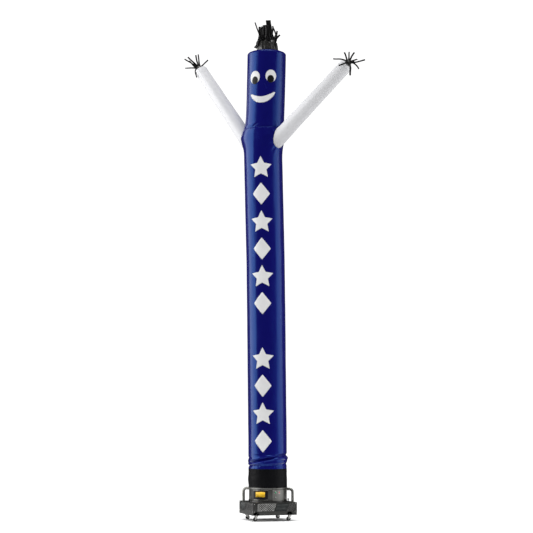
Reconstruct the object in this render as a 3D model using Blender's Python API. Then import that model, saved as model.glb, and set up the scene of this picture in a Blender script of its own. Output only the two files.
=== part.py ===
"""Inflatable air dancer standing on its blower: an 18 inch cloth tube with arms, face and hair, about 6 m tall.

Metres, +Z up. The blower's drum is centred on X = Y = 0 until the whole model is moved, at the end, so that
the origin lies under the middle of its box. Azimuths are in degrees: 0 is the blower's front, -Y, and 90 is +X.
"""

import math

import bmesh
import bpy
import numpy as np
from mathutils import Matrix, Vector

GAP = 0.0003  # between two pieces that touch
MERGE = 0.00001
SIDES = 36  # round the tube, the cuff and the drum

# ---- cloth tube ----
CLOTH = 0.002
VIEW_AZIMUTH = -18.0  # the side that the dancer shows best
LEAN_AZIMUTH = VIEW_AZIMUTH - 90
TUBE_BOTTOM = 0.6050
NECK_HEIGHT = 4.672
HEAD_TOP = 5.592
# height, lean of the axis towards LEAN_AZIMUTH, radius
TUBE_SECTIONS = (
    (0.605, 0.004, 0.2266),
    (0.940, 0.004, 0.2280),
    (1.650, 0.012, 0.2288),
    (2.370, 0.019, 0.2296),
    (3.090, 0.029, 0.2305),
    (3.820, 0.045, 0.2314),
    (4.060, 0.050, 0.2318),
    (4.380, 0.058, 0.2322),
    (4.770, 0.036, 0.2328),
    (4.940, 0.029, 0.2330),
    (5.240, 0.021, 0.2334),
    (5.580, 0.013, 0.2336),
)
# rise above HEAD_TOP, share of the tube's radius: the sewn top panel, up to the vent under the hair
CROWN_ROWS = ((0.0, 1.0), (0.012, 0.985), (0.022, 0.94), (0.034, 0.80), (0.042, 0.62), (0.046, 0.46))
# azimuth, height, rise round the tube, spread in degrees, width, depth: soft folds above the cuff
FOLDS = (
    (-18, 0.722, 0.045, 55, 0.011, -0.015),
    (-30, 0.692, 0.040, 60, 0.014, 0.007),
    (62, 0.712, 0.020, 45, 0.020, 0.013),
    (70, 0.752, 0.004, 40, 0.010, -0.006),
    (-110, 0.674, 0.000, 35, 0.014, 0.006),
    (-100, 0.642, 0.004, 45, 0.012, -0.014),
    (8, 0.664, 0.025, 45, 0.011, 0.010),
    (30, 0.645, 0.015, 40, 0.010, -0.008),
    (165, 0.700, -0.030, 60, 0.012, -0.011),
    (175, 0.668, -0.020, 60, 0.016, 0.007),
)
FOLD_START = 0.620  # the hem below it is level and round
FOLD_FADE = 0.020
NECK_PINCH = 0.007
NECK_WIDTH = 0.011
SHOULDER_SPREAD = 38.0
SHOULDER_WIDTH = 0.085
SHOULDER_HEIGHT = 4.580

# ---- arms ----
ARM_SIDES = 20
ARM_ROOT_RADIUS = 0.094
ARM_TIP_RADIUS = 0.0795
ARM_BURIED = 0.20  # how far the tube is drawn back into the shoulder before it is trimmed
ARM_HOLE_MARGIN = 0.006
# azimuth, height of the root on the tube's skin, elevation, length, swell of the shoulder
ARMS = {
    "arm_right": (30.0, 4.538, 34.9, 1.282, 0.034),
    "arm_left": (-140.0, 4.551, 54.1, 1.186, 0.062),
}
# distance past the arm's length, share of the tip's radius: the gathered end
ARM_END_ROWS = ((0.0, 1.0), (0.010, 0.93), (0.020, 0.72), (0.026, 0.44))
KNOT_RADIUS = 0.037

# ---- face ----
FACE_AZIMUTH = VIEW_AZIMUTH - 11.0
PATCH = 0.0010  # thickness of a sewn patch
PATCH_OFFSET = 0.0007
PUPIL_OFFSET = PATCH_OFFSET + PATCH + GAP
# azimuth from the middle of the face, height, half width in degrees, half height
EYES = {"eye_left": (-25.2, 5.279, 17.2, 0.079), "eye_right": (25.2, 5.290, 16.4, 0.075)}
PUPILS = {"pupil_left": (-24.2, 5.242, 10.4, 0.048), "pupil_right": (24.3, 5.253, 10.2, 0.047)}
SMILE_HALF_WIDTH = 39.2
SMILE_HEIGHT = 5.002
SMILE_RISE = 0.079
SMILE_TILT = 0.009
SMILE_THICKNESS = 0.077
SMILE_BLUNT = 0.14  # how thick the round tips are

# ---- cuff and blower drum ----
CUFF_BOTTOM = 0.3865
CUFF_SWELL = 0.008
CUFF_RADIUS = 0.2264
DRUM_RADIUS = 0.2236
DRUM_WALL = 0.003
DRUM_TOP = 0.470
DRUM_INLET_RADIUS = 0.205
RIM_BOTTOM = 0.370
RIM_TOP = 0.3855
RIM_OUT = 0.0045

# ---- blower housing ----
HOUSING_SIDE = 0.543
HOUSING_BOTTOM = 0.072
DECK = 0.218
SHEET = 0.004
BASE_PLATE = 0.003
WINDOW_BOTTOM = 0.120
WINDOW_TOP = 0.207
WINDOW_SLANT = 0.034
GRILLE = 0.0015
ARCH_RADIUS = 0.036
ARCH_HEIGHT = 0.078
ARCHES = (-0.230, 0.180)
# side, left end, right end (along the top edge), slanted left end, slanted right end
PANELS = {
    "grille_front": ("front", -0.215, 0.020, False, True),
    "louvre_front": ("front", 0.030, 0.168, True, True),
    "grille_front_end": ("front", 0.178, 0.252, True, False),
    "grille_left": ("left", -0.031, 0.196, True, False),
    "louvre_left": ("left", -0.215, -0.041, False, True),
    "grille_right": ("right", -0.200, 0.200, False, False),
    "grille_back": ("back", -0.200, 0.200, False, False),
}
SIDE_TURN = {"front": 0, "right": 90, "back": 180, "left": -90}

# ---- blower fittings ----
HANDLE_RADIUS = 0.016
HANDLE_REACH = 0.313
HANDLE_HEIGHT = 0.3685
HANDLE_BEND = 0.038
HANDLES = {"handle_right": 50.0, "handle_left": -130.0}
DRUM_PLATE = 0.002
# from azimuth, to azimuth, bottom, top
DRUM_PLATES = {"label_plate": (-66.0, -18.0, 0.254, 0.352), "control_panel": (-4.0, 37.0, 0.236, 0.364)}
# azimuth, height, radius, length
DRUM_BUTTONS = {
    "lamp_green": (5.0, 0.332, 0.011, 0.008),
    "lamp_red": (17.5, 0.332, 0.011, 0.008),
    "dial_knob": (5.0, 0.272, 0.013, 0.014),
}
DECK_KNOB_RADIUS = 0.009
DECK_KNOB_LENGTH = 0.034
DECK_KNOB_REACH = 0.243
DECK_KNOBS = {"deck_knob_left": -82.0, "deck_knob_front": 44.0, "deck_knob_right": 80.0}

# ---- casters ----
CASTER_X = 0.205
CASTER_Y = 0.200
WHEEL_SIDES = 24
WHEEL_RADIUS = 0.026
WHEEL_WIDTH = 0.020
AXLE_HEIGHT = WHEEL_RADIUS * math.cos(math.pi / WHEEL_SIDES)  # a flat of the tread lies on the floor
TRAIL = 0.016
AXLE_RADIUS = 0.0030
FORK_WIDTH = 0.034
FORK_SLOT = 0.0235
FORK_CROWN = 0.0045
CASTER_PLATE = 0.0025
NUT_RADIUS = 0.010
NUT_LENGTH = 0.024
# place of the swivel, turn of the fork from trailing towards -X
CASTERS = {
    "front_left": (-CASTER_X, -CASTER_Y, 0),
    "front_right": (CASTER_X, -CASTER_Y, 0),
    "back_left": (-CASTER_X, CASTER_Y, 180),
    "back_right": (CASTER_X, CASTER_Y, 0),
}

# ---- hair and hands: strips of cloth fused at their roots ----
STRIP = 0.0025
STRIP_STEPS = 6
HAND_LIFT = 1.1  # how strongly a hand's strips first run on along the arm before they spread
HAIR_RADIUS = 0.126
HAIR_TOP_RADIUS = 0.124
HAIR_SHIFT = 0.009  # towards the dancer's left hand side
HAIR_RISE = 0.128
HAIR_CROWN = 0.020
HAIR_PUCKER = 0.05
# turn from straight up as the dancer is seen, tilt to the front, length, width, end turn, end tilt
HAIR = (
    (0, 0, 0.256, 0.062, -1, 2),
    (-14, 25, 0.182, 0.054, -2, 5),
    (8, 30, 0.160, 0.045, -4, 8),
    (-34, 12, 0.226, 0.016, -17, 4),
    (-74, 25, 0.078, 0.038, -150, 20),
    (18, 15, 0.165, 0.016, 2, 5),
    (38, 5, 0.128, 0.020, 10, 0),
    (55, 20, 0.085, 0.022, 40, 10),
    (-26, -25, 0.150, 0.014, -4, -10),
    (-4, -35, 0.205, 0.036, 0, -8),
    (26, -62, 0.120, 0.026, 10, -70),
    (-36, -58, 0.135, 0.020, -10, -40),
)
HANDS = {
    "hand_right": (
        (-108, 20, 0.185, 0.015, -88, 10),
        (-122, 15, 0.140, 0.015, -126, 15),
        (-72, 10, 0.125, 0.015, -26, 10),
        (-40, 20, 0.112, 0.014, 2, 15),
        (20, 0, 0.118, 0.017, 26, 0),
        (100, 35, 0.060, 0.022, 85, 35),
        (148, 10, 0.180, 0.015, 70, 5),
        (135, 20, 0.145, 0.015, 142, 15),
        (198, 30, 0.185, 0.018, 184, 15),
        (60, -50, 0.110, 0.015, 70, -40),
    ),
    "hand_left": (
        (-66, 5, 0.190, 0.016, -56, 0),
        (-44, 20, 0.175, 0.016, -52, 15),
        (-96, 15, 0.140, 0.015, -64, 10),
        (-120, 5, 0.175, 0.014, -94, 5),
        (-18, 5, 0.145, 0.016, -13, 0),
        (2, 25, 0.145, 0.014, -7, 20),
        (112, 10, 0.150, 0.016, 34, 5),
        (-176, 30, 0.165, 0.014, 160, 20),
        (-20, -45, 0.120, 0.015, -40, -40),
    ),
}

MATERIALS = {
    "blue_nylon": ((0.010, 0.022, 0.220, 1), 0.42, 0.0),
    "white_nylon": ((0.78, 0.78, 0.80, 1), 0.45, 0.0),
    "black_nylon": ((0.010, 0.010, 0.014, 1), 0.55, 0.0),
    "housing_grey": ((0.045, 0.045, 0.043, 1), 0.50, 0.3),
    "bright_steel": ((0.45, 0.45, 0.43, 1), 0.30, 1.0),
    "grille_steel": ((0.22, 0.22, 0.21, 1), 0.40, 0.9),
    "black_plastic": ((0.012, 0.012, 0.012, 1), 0.45, 0.0),
    "panel_grey": ((0.13, 0.13, 0.125, 1), 0.40, 0.4),
    "green_lens": ((0.05, 0.28, 0.12, 1), 0.25, 0.0),
    "red_lens": ((0.40, 0.03, 0.03, 1), 0.25, 0.0),
    "tyre_rubber": ((0.015, 0.015, 0.015, 1), 0.60, 0.0),
}


# ---------------------------------------------------------------- helpers


def clear_scene():
    for thing in list(bpy.data.objects):
        bpy.data.objects.remove(thing, do_unlink=True)


def material(slot):
    made = bpy.data.materials.get(slot)
    if made:
        return made
    colour, roughness, metallic = MATERIALS[slot]
    made = bpy.data.materials.new(slot)
    made.use_nodes = True
    shader = made.node_tree.nodes["Principled BSDF"]
    shader.inputs["Base Color"].default_value = colour
    shader.inputs["Roughness"].default_value = roughness
    shader.inputs["Metallic"].default_value = metallic
    return made


def as_object(bm, name, slot=None, parent=None):
    """The finished bmesh as a named object; with no slot it is a cutter, which is not part of the model."""
    mesh = bpy.data.meshes.new(name)
    bm.to_mesh(mesh)
    bm.free()
    made = bpy.data.objects.new(name, mesh)
    bpy.context.collection.objects.link(made)
    made.parent = parent or ROOT
    if slot:
        mesh.materials.append(material(slot))
        mesh.shade_smooth()
        mesh.set_sharp_from_angle(angle=math.radians(35))
    else:
        made.hide_render = True
        made.display_type = "WIRE"
    return made


def cut(thing, cutter):
    hole = thing.modifiers.new("cut_" + cutter.name, "BOOLEAN")
    hole.operation = "DIFFERENCE"
    hole.object = cutter


def around(azimuth):
    """The level direction at an azimuth."""
    turn = math.radians(azimuth)
    return Vector((math.sin(turn), -math.cos(turn), 0))


def rolled(place, columns, rows):
    """A grid rolled up: place(azimuth, row) gives each point, and the two edges that meet are merged."""
    bm = bmesh.new()
    bmesh.ops.create_grid(bm, x_segments=columns, y_segments=rows, size=0.5)
    for vert in bm.verts:
        vert.co = place((vert.co.x + 0.5) * 360, round((vert.co.y + 0.5) * rows))
    bmesh.ops.remove_doubles(bm, verts=bm.verts, dist=MERGE)
    return bm


def thicken(thing, thickness):
    """A skin gets its cloth on the inner side, and closed edges."""
    wall = thing.modifiers.new("cloth", "SOLIDIFY")
    wall.thickness = thickness
    wall.offset = -1


def turned(profile, sides=SIDES, first_turn=0.0):
    """A closed (radius, height) outline spun about Z."""
    bm = bmesh.new()
    start = around(first_turn)
    verts = [bm.verts.new(start * radius + Vector((0, 0, height))) for radius, height in profile]
    edges = [bm.edges.new(pair) for pair in zip(verts, verts[1:] + verts[:1])]
    bmesh.ops.spin(
        bm, geom=[*verts, *edges], cent=(0, 0, 0), axis=(0, 0, 1),
        angle=math.tau, steps=sides, use_merge=True, use_duplicate=False,
    )
    bmesh.ops.remove_doubles(bm, verts=bm.verts, dist=MERGE)
    bmesh.ops.recalc_face_normals(bm, faces=bm.faces)
    return bm


def disc(radius, length, sides, chamfer=0.0):
    """A short round bar about Z that stands on Z = 0, its far rim softened."""
    bm = bmesh.new()
    bmesh.ops.create_cone(
        bm, cap_ends=True, segments=sides, radius1=radius, radius2=radius, depth=length,
        matrix=Matrix.Translation((0, 0, length / 2)) @ Matrix.Rotation(math.pi / sides, 4, "Z"),
    )
    if chamfer:
        rim = [e for e in bm.edges if all(v.co.z > length - MERGE for v in e.verts)]
        bmesh.ops.bevel(
            bm, geom=rim, offset=chamfer, affect="EDGES", segments=1, profile=0.5, material=-1
        )
    return bm


def block(low, high):
    bm = bmesh.new()
    size = Vector(high) - Vector(low)
    middle = (Vector(high) + Vector(low)) / 2
    bmesh.ops.create_cube(bm, size=1, matrix=Matrix.Translation(middle) @ Matrix.Diagonal((*size, 1)))
    return bm


def extruded(outline, depth):
    """A closed outline of points, pushed along the depth vector."""
    bm = bmesh.new()
    face = bm.faces.new([bm.verts.new(point) for point in outline])
    grown = bmesh.ops.extrude_face_region(bm, geom=[face])["geom"]
    bmesh.ops.translate(bm, verts=[g for g in grown if isinstance(g, bmesh.types.BMVert)], vec=depth)
    bmesh.ops.recalc_face_normals(bm, faces=bm.faces)
    return bm


def hill(offset, width):
    return math.exp(-0.5 * (offset / width) ** 2)


def turn_between(azimuth, other):
    return (azimuth - other + 180) % 360 - 180


# ---------------------------------------------------------------- cloth tube


def section(height):
    """The tube's lean and radius at a height."""
    heights, leans, radii = zip(*TUBE_SECTIONS)
    return np.interp(height, heights, leans), np.interp(height, heights, radii)


def axis_point(height):
    return around(LEAN_AZIMUTH) * float(section(height)[0]) + Vector((0, 0, height))


def relief(azimuth, height):
    """How far the skin stands out from the plain round tube: folds, neck seam and shoulders."""
    out = 0.0
    fade = min(max((height - FOLD_START) / FOLD_FADE, 0.0), 1.0)
    for fold_azimuth, fold_height, rise, spread, width, depth in FOLDS:
        turn = turn_between(azimuth, fold_azimuth)
        line = fold_height + rise * math.sin(math.radians(turn_between(azimuth, VIEW_AZIMUTH)))
        out += fade * depth * hill(turn, spread) * hill(height - line, width)
    out -= NECK_PINCH * hill(height - NECK_HEIGHT, NECK_WIDTH)
    for arm_azimuth, _, _, _, swell in ARMS.values():
        beside = hill(turn_between(azimuth, arm_azimuth), SHOULDER_SPREAD)
        out += swell * beside * hill(height - SHOULDER_HEIGHT, SHOULDER_WIDTH)
    return out


def skin_point(azimuth, height, stand_off=0.0, share=1.0):
    radius = float(section(height)[1]) + relief(azimuth, height) + stand_off
    return axis_point(height) + around(azimuth) * radius * share


def tube_heights():
    folds = np.linspace(TUBE_BOTTOM, 0.792, 14)
    shaft = (1.10, 1.65, 2.37, 3.09, 3.82, 4.12, 4.28)
    shoulders = (4.36, 4.42, 4.475, 4.525, 4.57, 4.61, 4.645, 4.662, 4.672, 4.682, 4.70, 4.74, 4.80)
    head = (4.94, 5.24, HEAD_TOP - 0.012)
    return [*folds, *shaft, *shoulders, *head]


def make_tube():
    heights = tube_heights()

    def place(azimuth, row):
        if row < len(heights):
            return skin_point(azimuth, float(heights[row]))
        rise, share = CROWN_ROWS[row - len(heights)]
        return skin_point(azimuth, HEAD_TOP, share=share) + Vector((0, 0, rise))

    tube = as_object(rolled(place, SIDES, len(heights) + len(CROWN_ROWS) - 1), "body_tube", "blue_nylon")
    thicken(tube, CLOTH)
    for name in ARMS:
        cut(tube, arm_hole(name))


def shoulder_core():
    """The solid inside of the shoulders, a gap bigger than the skin, which trims the arms' roots."""
    heights = [h for h in tube_heights() if 3.8 < h < 5.3]
    bm = rolled(
        lambda azimuth, row: skin_point(azimuth, float(heights[row]), stand_off=GAP + 0.0002),
        SIDES, len(heights) - 1,
    )
    bmesh.ops.holes_fill(bm, edges=[e for e in bm.edges if e.is_boundary])
    return as_object(bm, "shoulder_core")


# ---------------------------------------------------------------- arms


def arm_frame(name):
    """Root point on the skin, and the arm's direction with two directions square to it."""
    azimuth, height, elevation, length, _ = ARMS[name]
    slope = math.radians(elevation)
    along = around(azimuth) * math.cos(slope) + Vector((0, 0, math.sin(slope)))
    across = around(azimuth + 90)
    root = axis_point(height) + around(azimuth) * float(section(height)[1])
    return root, along, across, across.cross(along), length


def arm_tip(name):
    root, along, _, _, length = arm_frame(name)
    return root + along * length, along


def arm_hole(name):
    root, along, across, up, _ = arm_frame(name)
    bm = disc(ARM_ROOT_RADIUS - ARM_HOLE_MARGIN, 2 * ARM_BURIED, ARM_SIDES)
    turn = Matrix((across, -up, along)).transposed().to_4x4()
    bmesh.ops.transform(bm, matrix=Matrix.Translation(root - along * ARM_BURIED) @ turn, verts=bm.verts)
    bmesh.ops.recalc_face_normals(bm, faces=bm.faces)
    return as_object(bm, name + "_hole")


def make_arm(name, core):
    root, along, across, up, length = arm_frame(name)
    shaft = ((-ARM_BURIED, 0.0), (0.0, 0.0), (0.12, 0.12), (0.45, 0.45), (0.80, 0.80))

    def place(azimuth, row):
        if row < len(shaft):
            way, share = shaft[row]
            distance = way if way < 0 else way * length
            radius = ARM_ROOT_RADIUS + (ARM_TIP_RADIUS - ARM_ROOT_RADIUS) * share
        else:
            past, share = ARM_END_ROWS[row - len(shaft)]
            distance = length + past
            radius = ARM_TIP_RADIUS * share
        turn = math.radians(azimuth)
        return root + along * distance + (across * math.cos(turn) + up * math.sin(turn)) * radius

    bm = rolled(place, ARM_SIDES, len(shaft) + len(ARM_END_ROWS) - 1)
    arm = as_object(bm, name, "white_nylon")
    thicken(arm, CLOTH)
    cut(arm, core)


# ---------------------------------------------------------------- face


def patch(name, columns, stand_off, slot):
    """A sewn patch on the head from (azimuth, bottom, top) columns, each a line up the skin."""
    bm = bmesh.new()
    faces = []
    rows = []
    for azimuth, bottom, top in columns:
        rows.append([bm.verts.new(skin_point(azimuth, height, stand_off)) for height in (bottom, top)])
    for near, far in zip(rows, rows[1:]):
        faces.append(bm.faces.new((near[0], far[0], far[1], near[1])))
    bmesh.ops.recalc_face_normals(bm, faces=faces)
    made = as_object(bm, name, slot)
    wall = made.modifiers.new("patch", "SOLIDIFY")
    wall.thickness = PATCH
    wall.offset = 1 if faces_out(made) else -1
    return made


def faces_out(thing):
    face = thing.data.polygons[0]
    return face.normal.dot(face.center - axis_point(face.center.z)) > 0


def oval(azimuth, height, half_width, half_height, steps=12):
    """Columns across an upright oval, its two ends a little blunt."""
    for step in range(steps + 1):
        turn = math.radians(12 + (180 - 24) * step / steps)
        reach = half_height * math.sin(turn)
        yield FACE_AZIMUTH + azimuth - half_width * math.cos(turn), height - reach, height + reach


def smile(steps=16):
    """Columns across a crescent: it hangs lowest in the middle and its tips are round."""
    for step in range(steps + 1):
        across = -math.cos(math.pi * step / steps)
        half = 0.5 * SMILE_THICKNESS * math.sqrt(max(1 - abs(across) ** 3, SMILE_BLUNT ** 2))
        middle = SMILE_HEIGHT + SMILE_RISE * across * across + SMILE_TILT * across
        yield FACE_AZIMUTH + SMILE_HALF_WIDTH * across, middle - half, middle + half


def make_face():
    for name, place in EYES.items():
        patch(name, list(oval(*place)), PATCH_OFFSET, "white_nylon")
    for name, place in PUPILS.items():
        patch(name, list(oval(*place, steps=8)), PUPIL_OFFSET, "black_nylon")
    patch("smile", list(smile()), PATCH_OFFSET, "white_nylon")


# ---------------------------------------------------------------- hair and hands


def dancer_direction(turn, tilt):
    """A direction by its turn from straight up, clockwise as the dancer is seen, and its tilt to the front."""
    turn, tilt = math.radians(turn), math.radians(tilt)
    flat = Vector((0, 0, math.cos(turn))) + around(VIEW_AZIMUTH + 90) * math.sin(turn)
    return flat * math.cos(tilt) + around(VIEW_AZIMUTH) * math.sin(tilt)


def ring_of(face, centre, along, width):
    """Four corners of a strip square to its way, in the order of the face that they grow from."""
    side = along.cross(around(VIEW_AZIMUTH))
    side = (side if side.length > 0.3 else along.cross(Vector((0, 0, 1)))).normalized()
    flat = along.cross(side).normalized()
    corners = [
        centre + side * (a * width / 2) + flat * (b * STRIP / 2)
        for a, b in ((1, 1), (-1, 1), (-1, -1), (1, -1))
    ]
    olds = [v.co.copy() for v in face.verts]
    if (corners[1] - corners[0]).cross(corners[2] - corners[1]).dot(along) < 0:
        corners.reverse()
    middle = sum(olds, Vector()) / 4
    turns = [corners[k:] + corners[:k] for k in range(4)]
    return min(turns, key=lambda t: sum(((c - centre) - (o - middle)).length for c, o in zip(t, olds)))


def grow_strip(bm, face, begin, end, length, width):
    """Extrudes one face of the root into a strip that bends from one direction to another."""
    point = face.calc_center_median()
    for step in range(1, STRIP_STEPS + 1):
        share = step / STRIP_STEPS
        along = begin.slerp(end, math.sqrt(share))
        point = point + along * length / STRIP_STEPS
        face = bmesh.ops.extrude_discrete_faces(bm, faces=[face])["faces"][0]
        for vert, corner in zip(face.verts, ring_of(face, point, along, width)):
            vert.co = corner


def make_tuft(name, root, centre, strips, lift=Vector()):
    """Strips that grow out of the faces of one root, each from the face nearest its own direction."""
    free = list(root.faces)
    starts = []
    for turn, tilt, length, width, end_turn, end_tilt in strips:
        begin = (dancer_direction(turn, tilt) + lift).normalized()
        face = max(free, key=lambda f: (f.calc_center_median() - centre).normalized().dot(begin))
        free.remove(face)
        starts.append((face, begin, dancer_direction(end_turn, end_tilt), length, width))
    for face, begin, end, length, width in starts:
        grow_strip(root, face, begin, end, length, width)
    as_object(root, name, "black_nylon")


def make_hair():
    """A gathered sleeve that sits on the vent's edge, and the strips that stand up out of it."""
    foot = axis_point(HEAD_TOP) + around(VIEW_AZIMUTH + 90) * HAIR_SHIFT
    foot.z += CROWN_ROWS[-1][0] + GAP
    bm = bmesh.new()
    bmesh.ops.create_cube(bm, size=2)
    bmesh.ops.subdivide_edges(bm, edges=bm.edges, cuts=3, use_grid_fill=True)
    for vert in bm.verts:
        rise = 0.5 + 0.5 * vert.co.z
        share = max(abs(vert.co.x), abs(vert.co.y))
        level = Vector((vert.co.x, vert.co.y, 0)).normalized() * share
        turn = math.atan2(level.y, level.x)
        radius = HAIR_RADIUS + (HAIR_TOP_RADIUS - HAIR_RADIUS) * rise * rise
        pucker = 1 + HAIR_PUCKER * rise * math.sin(5 * turn + 1)
        height = HAIR_RISE * rise + HAIR_CROWN * rise * (1 - share * share)
        vert.co = foot + level * radius * pucker + Vector((0, 0, height))
    make_tuft("hair", bm, foot + Vector((0, 0, HAIR_RISE / 2)), HAIR)


def make_hand(name, arm):
    tip, along = arm_tip(arm)
    mouth = ARM_END_ROWS[-1]
    rim = ARM_TIP_RADIUS * mouth[1] * math.cos(math.pi / ARM_SIDES)
    centre = tip + along * (mouth[0] + math.sqrt((KNOT_RADIUS + 2 * GAP) ** 2 - rim ** 2))
    bm = bmesh.new()
    bmesh.ops.create_cube(bm, size=2)
    bmesh.ops.subdivide_edges(bm, edges=bm.edges, cuts=2, use_grid_fill=True)
    turn = Vector((0, 0, 1)).rotation_difference(along)
    for vert in bm.verts:
        vert.co = centre + turn @ (vert.co.normalized() * KNOT_RADIUS)
    make_tuft(name, bm, centre, HANDS[name], along * HAND_LIFT)


# ---------------------------------------------------------------- cuff and drum


def make_cuff():
    """The black sleeve that is sewn to the tube and pulled down over the drum."""
    top = TUBE_BOTTOM - GAP
    heights = (CUFF_BOTTOM, CUFF_BOTTOM + 0.02, 0.45, 0.51, 0.56, top)

    def place(azimuth, row):
        height = heights[row]
        swell = CUFF_SWELL * hill(turn_between(azimuth, LEAN_AZIMUTH), 40) * hill(height - 0.47, 0.035)
        lean = around(LEAN_AZIMUTH) * float(section(height)[0]) * max(height - 0.45, 0) / (top - 0.45)
        return lean + around(azimuth) * (CUFF_RADIUS + swell) + Vector((0, 0, height))

    thicken(as_object(rolled(place, SIDES, len(heights) - 1), "cuff", "black_nylon"), CLOTH)


def make_drum():
    inner = DRUM_RADIUS - DRUM_WALL
    foot = DECK + GAP
    as_object(
        turned(((inner, foot), (DRUM_RADIUS, foot), (DRUM_RADIUS, DRUM_TOP), (inner, DRUM_TOP))),
        "drum", "housing_grey",
    )
    seat = DRUM_RADIUS + GAP
    middle = (RIM_BOTTOM + RIM_TOP) / 2
    rim = (
        (seat, RIM_BOTTOM), (seat + 0.6 * RIM_OUT, RIM_BOTTOM), (seat + RIM_OUT, middle - 0.003),
        (seat + RIM_OUT, middle + 0.003), (seat + 0.6 * RIM_OUT, RIM_TOP), (seat, RIM_TOP),
    )
    as_object(turned(rim), "drum_rim", "bright_steel")


def drum_point(azimuth, height, stand_off):
    return around(azimuth) * (DRUM_RADIUS + stand_off) + Vector((0, 0, height))


def make_drum_plate(name, start, stop, bottom, top, steps=10):
    bm = bmesh.new()
    bmesh.ops.create_grid(bm, x_segments=steps, y_segments=1, size=0.5)
    for vert in bm.verts:
        azimuth = start + (vert.co.x + 0.5) * (stop - start)
        vert.co = drum_point(azimuth, top if vert.co.y > 0 else bottom, GAP)
    plate = as_object(bm, name, "black_plastic" if name == "label_plate" else "panel_grey")
    wall = plate.modifiers.new("plate", "SOLIDIFY")
    wall.thickness = DRUM_PLATE
    wall.offset = 1


def make_drum_button(name, azimuth, height, radius, length):
    slots = {"lamp_green": "green_lens", "lamp_red": "red_lens", "dial_knob": "panel_grey"}
    bm = disc(radius, length, 16, chamfer=0.2 * radius)
    place = drum_point(azimuth, height, GAP + DRUM_PLATE + GAP)
    bmesh.ops.transform(
        bm, matrix=Matrix.Translation(place) @ Vector((0, 0, 1)).rotation_difference(around(azimuth)).to_matrix().to_4x4(),
        verts=bm.verts,
    )
    as_object(bm, name, slots[name])


def make_handle(name, azimuth):
    """A bent tube from the drum's rim out over the deck and down onto it."""
    way = around(azimuth)
    start = DRUM_RADIUS + GAP + RIM_OUT + GAP
    points = [way * start + Vector((0, 0, HANDLE_HEIGHT))]
    for step in range(7):
        turn = math.radians(90 * step / 6)
        reach = HANDLE_REACH - HANDLE_BEND + HANDLE_BEND * math.sin(turn)
        points.append(way * reach + Vector((0, 0, HANDLE_HEIGHT - HANDLE_BEND + HANDLE_BEND * math.cos(turn))))
    points.append(way * HANDLE_REACH + Vector((0, 0, DECK + GAP)))
    curve = bpy.data.curves.new(name, "CURVE")
    curve.dimensions = "3D"
    curve.bevel_depth = HANDLE_RADIUS
    curve.bevel_resolution = 3
    curve.use_fill_caps = True
    line = curve.splines.new("POLY")
    line.points.add(len(points) - 1)
    for place, point in zip(line.points, points):
        place.co = (*point, 1)
    curve.materials.append(material("bright_steel"))
    handle = bpy.data.objects.new(name, curve)
    bpy.context.collection.objects.link(handle)
    handle.parent = ROOT


# ---------------------------------------------------------------- housing


def wall_point(side, along, height, depth=0.0):
    """A point on a side wall's outer face, or depth behind it; along runs to the right as that side is seen."""
    outward = around(SIDE_TURN[side])
    right = around(SIDE_TURN[side] + 90)
    return outward * (HOUSING_SIDE / 2 - depth) + right * along + Vector((0, 0, height))


def panel_outline(side, left, right, slant_left, slant_right, shrink, depth):
    low, high = WINDOW_BOTTOM + shrink, WINDOW_TOP - shrink
    foot_left = left - (WINDOW_SLANT if slant_left else 0)
    foot_right = right - (WINDOW_SLANT if slant_right else 0)
    corners = (
        (foot_left + shrink, low), (foot_right - shrink, low), (right - shrink, high), (left + shrink, high),
    )
    return [wall_point(side, along, height, depth) for along, height in corners]


def make_housing():
    half = HOUSING_SIDE / 2
    bm = block((-half, -half, HOUSING_BOTTOM), (half, half, DECK))
    uprights = [e for e in bm.edges if abs(e.verts[0].co.z - e.verts[1].co.z) > 0.01]
    bmesh.ops.bevel(bm, geom=uprights, offset=0.006, affect="EDGES", segments=2, profile=0.5, material=-1)
    housing = as_object(bm, "housing", "housing_grey")
    room = half - SHEET
    cut(housing, as_object(block((-room, -room, 0), (room, room, DECK - SHEET)), "housing_room"))
    inlet = disc(DRUM_INLET_RADIUS, 0.1, SIDES)
    bmesh.ops.translate(inlet, verts=inlet.verts, vec=(0, 0, DECK - 0.05))
    cut(housing, as_object(inlet, "housing_outlet"))
    for name, (side, *ends) in PANELS.items():
        window = extruded(panel_outline(side, *ends, 0.0, -0.01), around(SIDE_TURN[side]) * -0.03)
        cut(housing, as_object(window, name + "_window"))
    for side in ("front", "back"):
        for number, along in enumerate(ARCHES):
            arch = disc(ARCH_RADIUS, 0.04, 20)
            place = Matrix.Translation(wall_point(side, along, ARCH_HEIGHT, 0.03))
            lay = Vector((0, 0, 1)).rotation_difference(around(SIDE_TURN[side])).to_matrix().to_4x4()
            bmesh.ops.transform(arch, matrix=place @ lay, verts=arch.verts)
            cut(housing, as_object(arch, f"arch_{side}_{number}"))


def make_panels():
    for name, (side, *ends) in PANELS.items():
        depth = SHEET / 2
        bm = extruded(panel_outline(side, *ends, GAP, depth), around(SIDE_TURN[side]) * GRILLE)
        as_object(bm, name, "black_plastic" if "louvre" in name else "grille_steel")


def make_base_plate():
    room = HOUSING_SIDE / 2 - SHEET - GAP
    as_object(
        block((-room, -room, HOUSING_BOTTOM), (room, room, HOUSING_BOTTOM + BASE_PLATE)),
        "base_plate", "housing_grey",
    )


def make_deck_knob(name, azimuth):
    bm = disc(DECK_KNOB_RADIUS, DECK_KNOB_LENGTH, 12, chamfer=0.003)
    place = around(azimuth) * DECK_KNOB_REACH + Vector((0, 0, DECK + GAP))
    bmesh.ops.translate(bm, verts=bm.verts, vec=place)
    as_object(bm, name, "black_plastic")


# ---------------------------------------------------------------- casters


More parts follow.
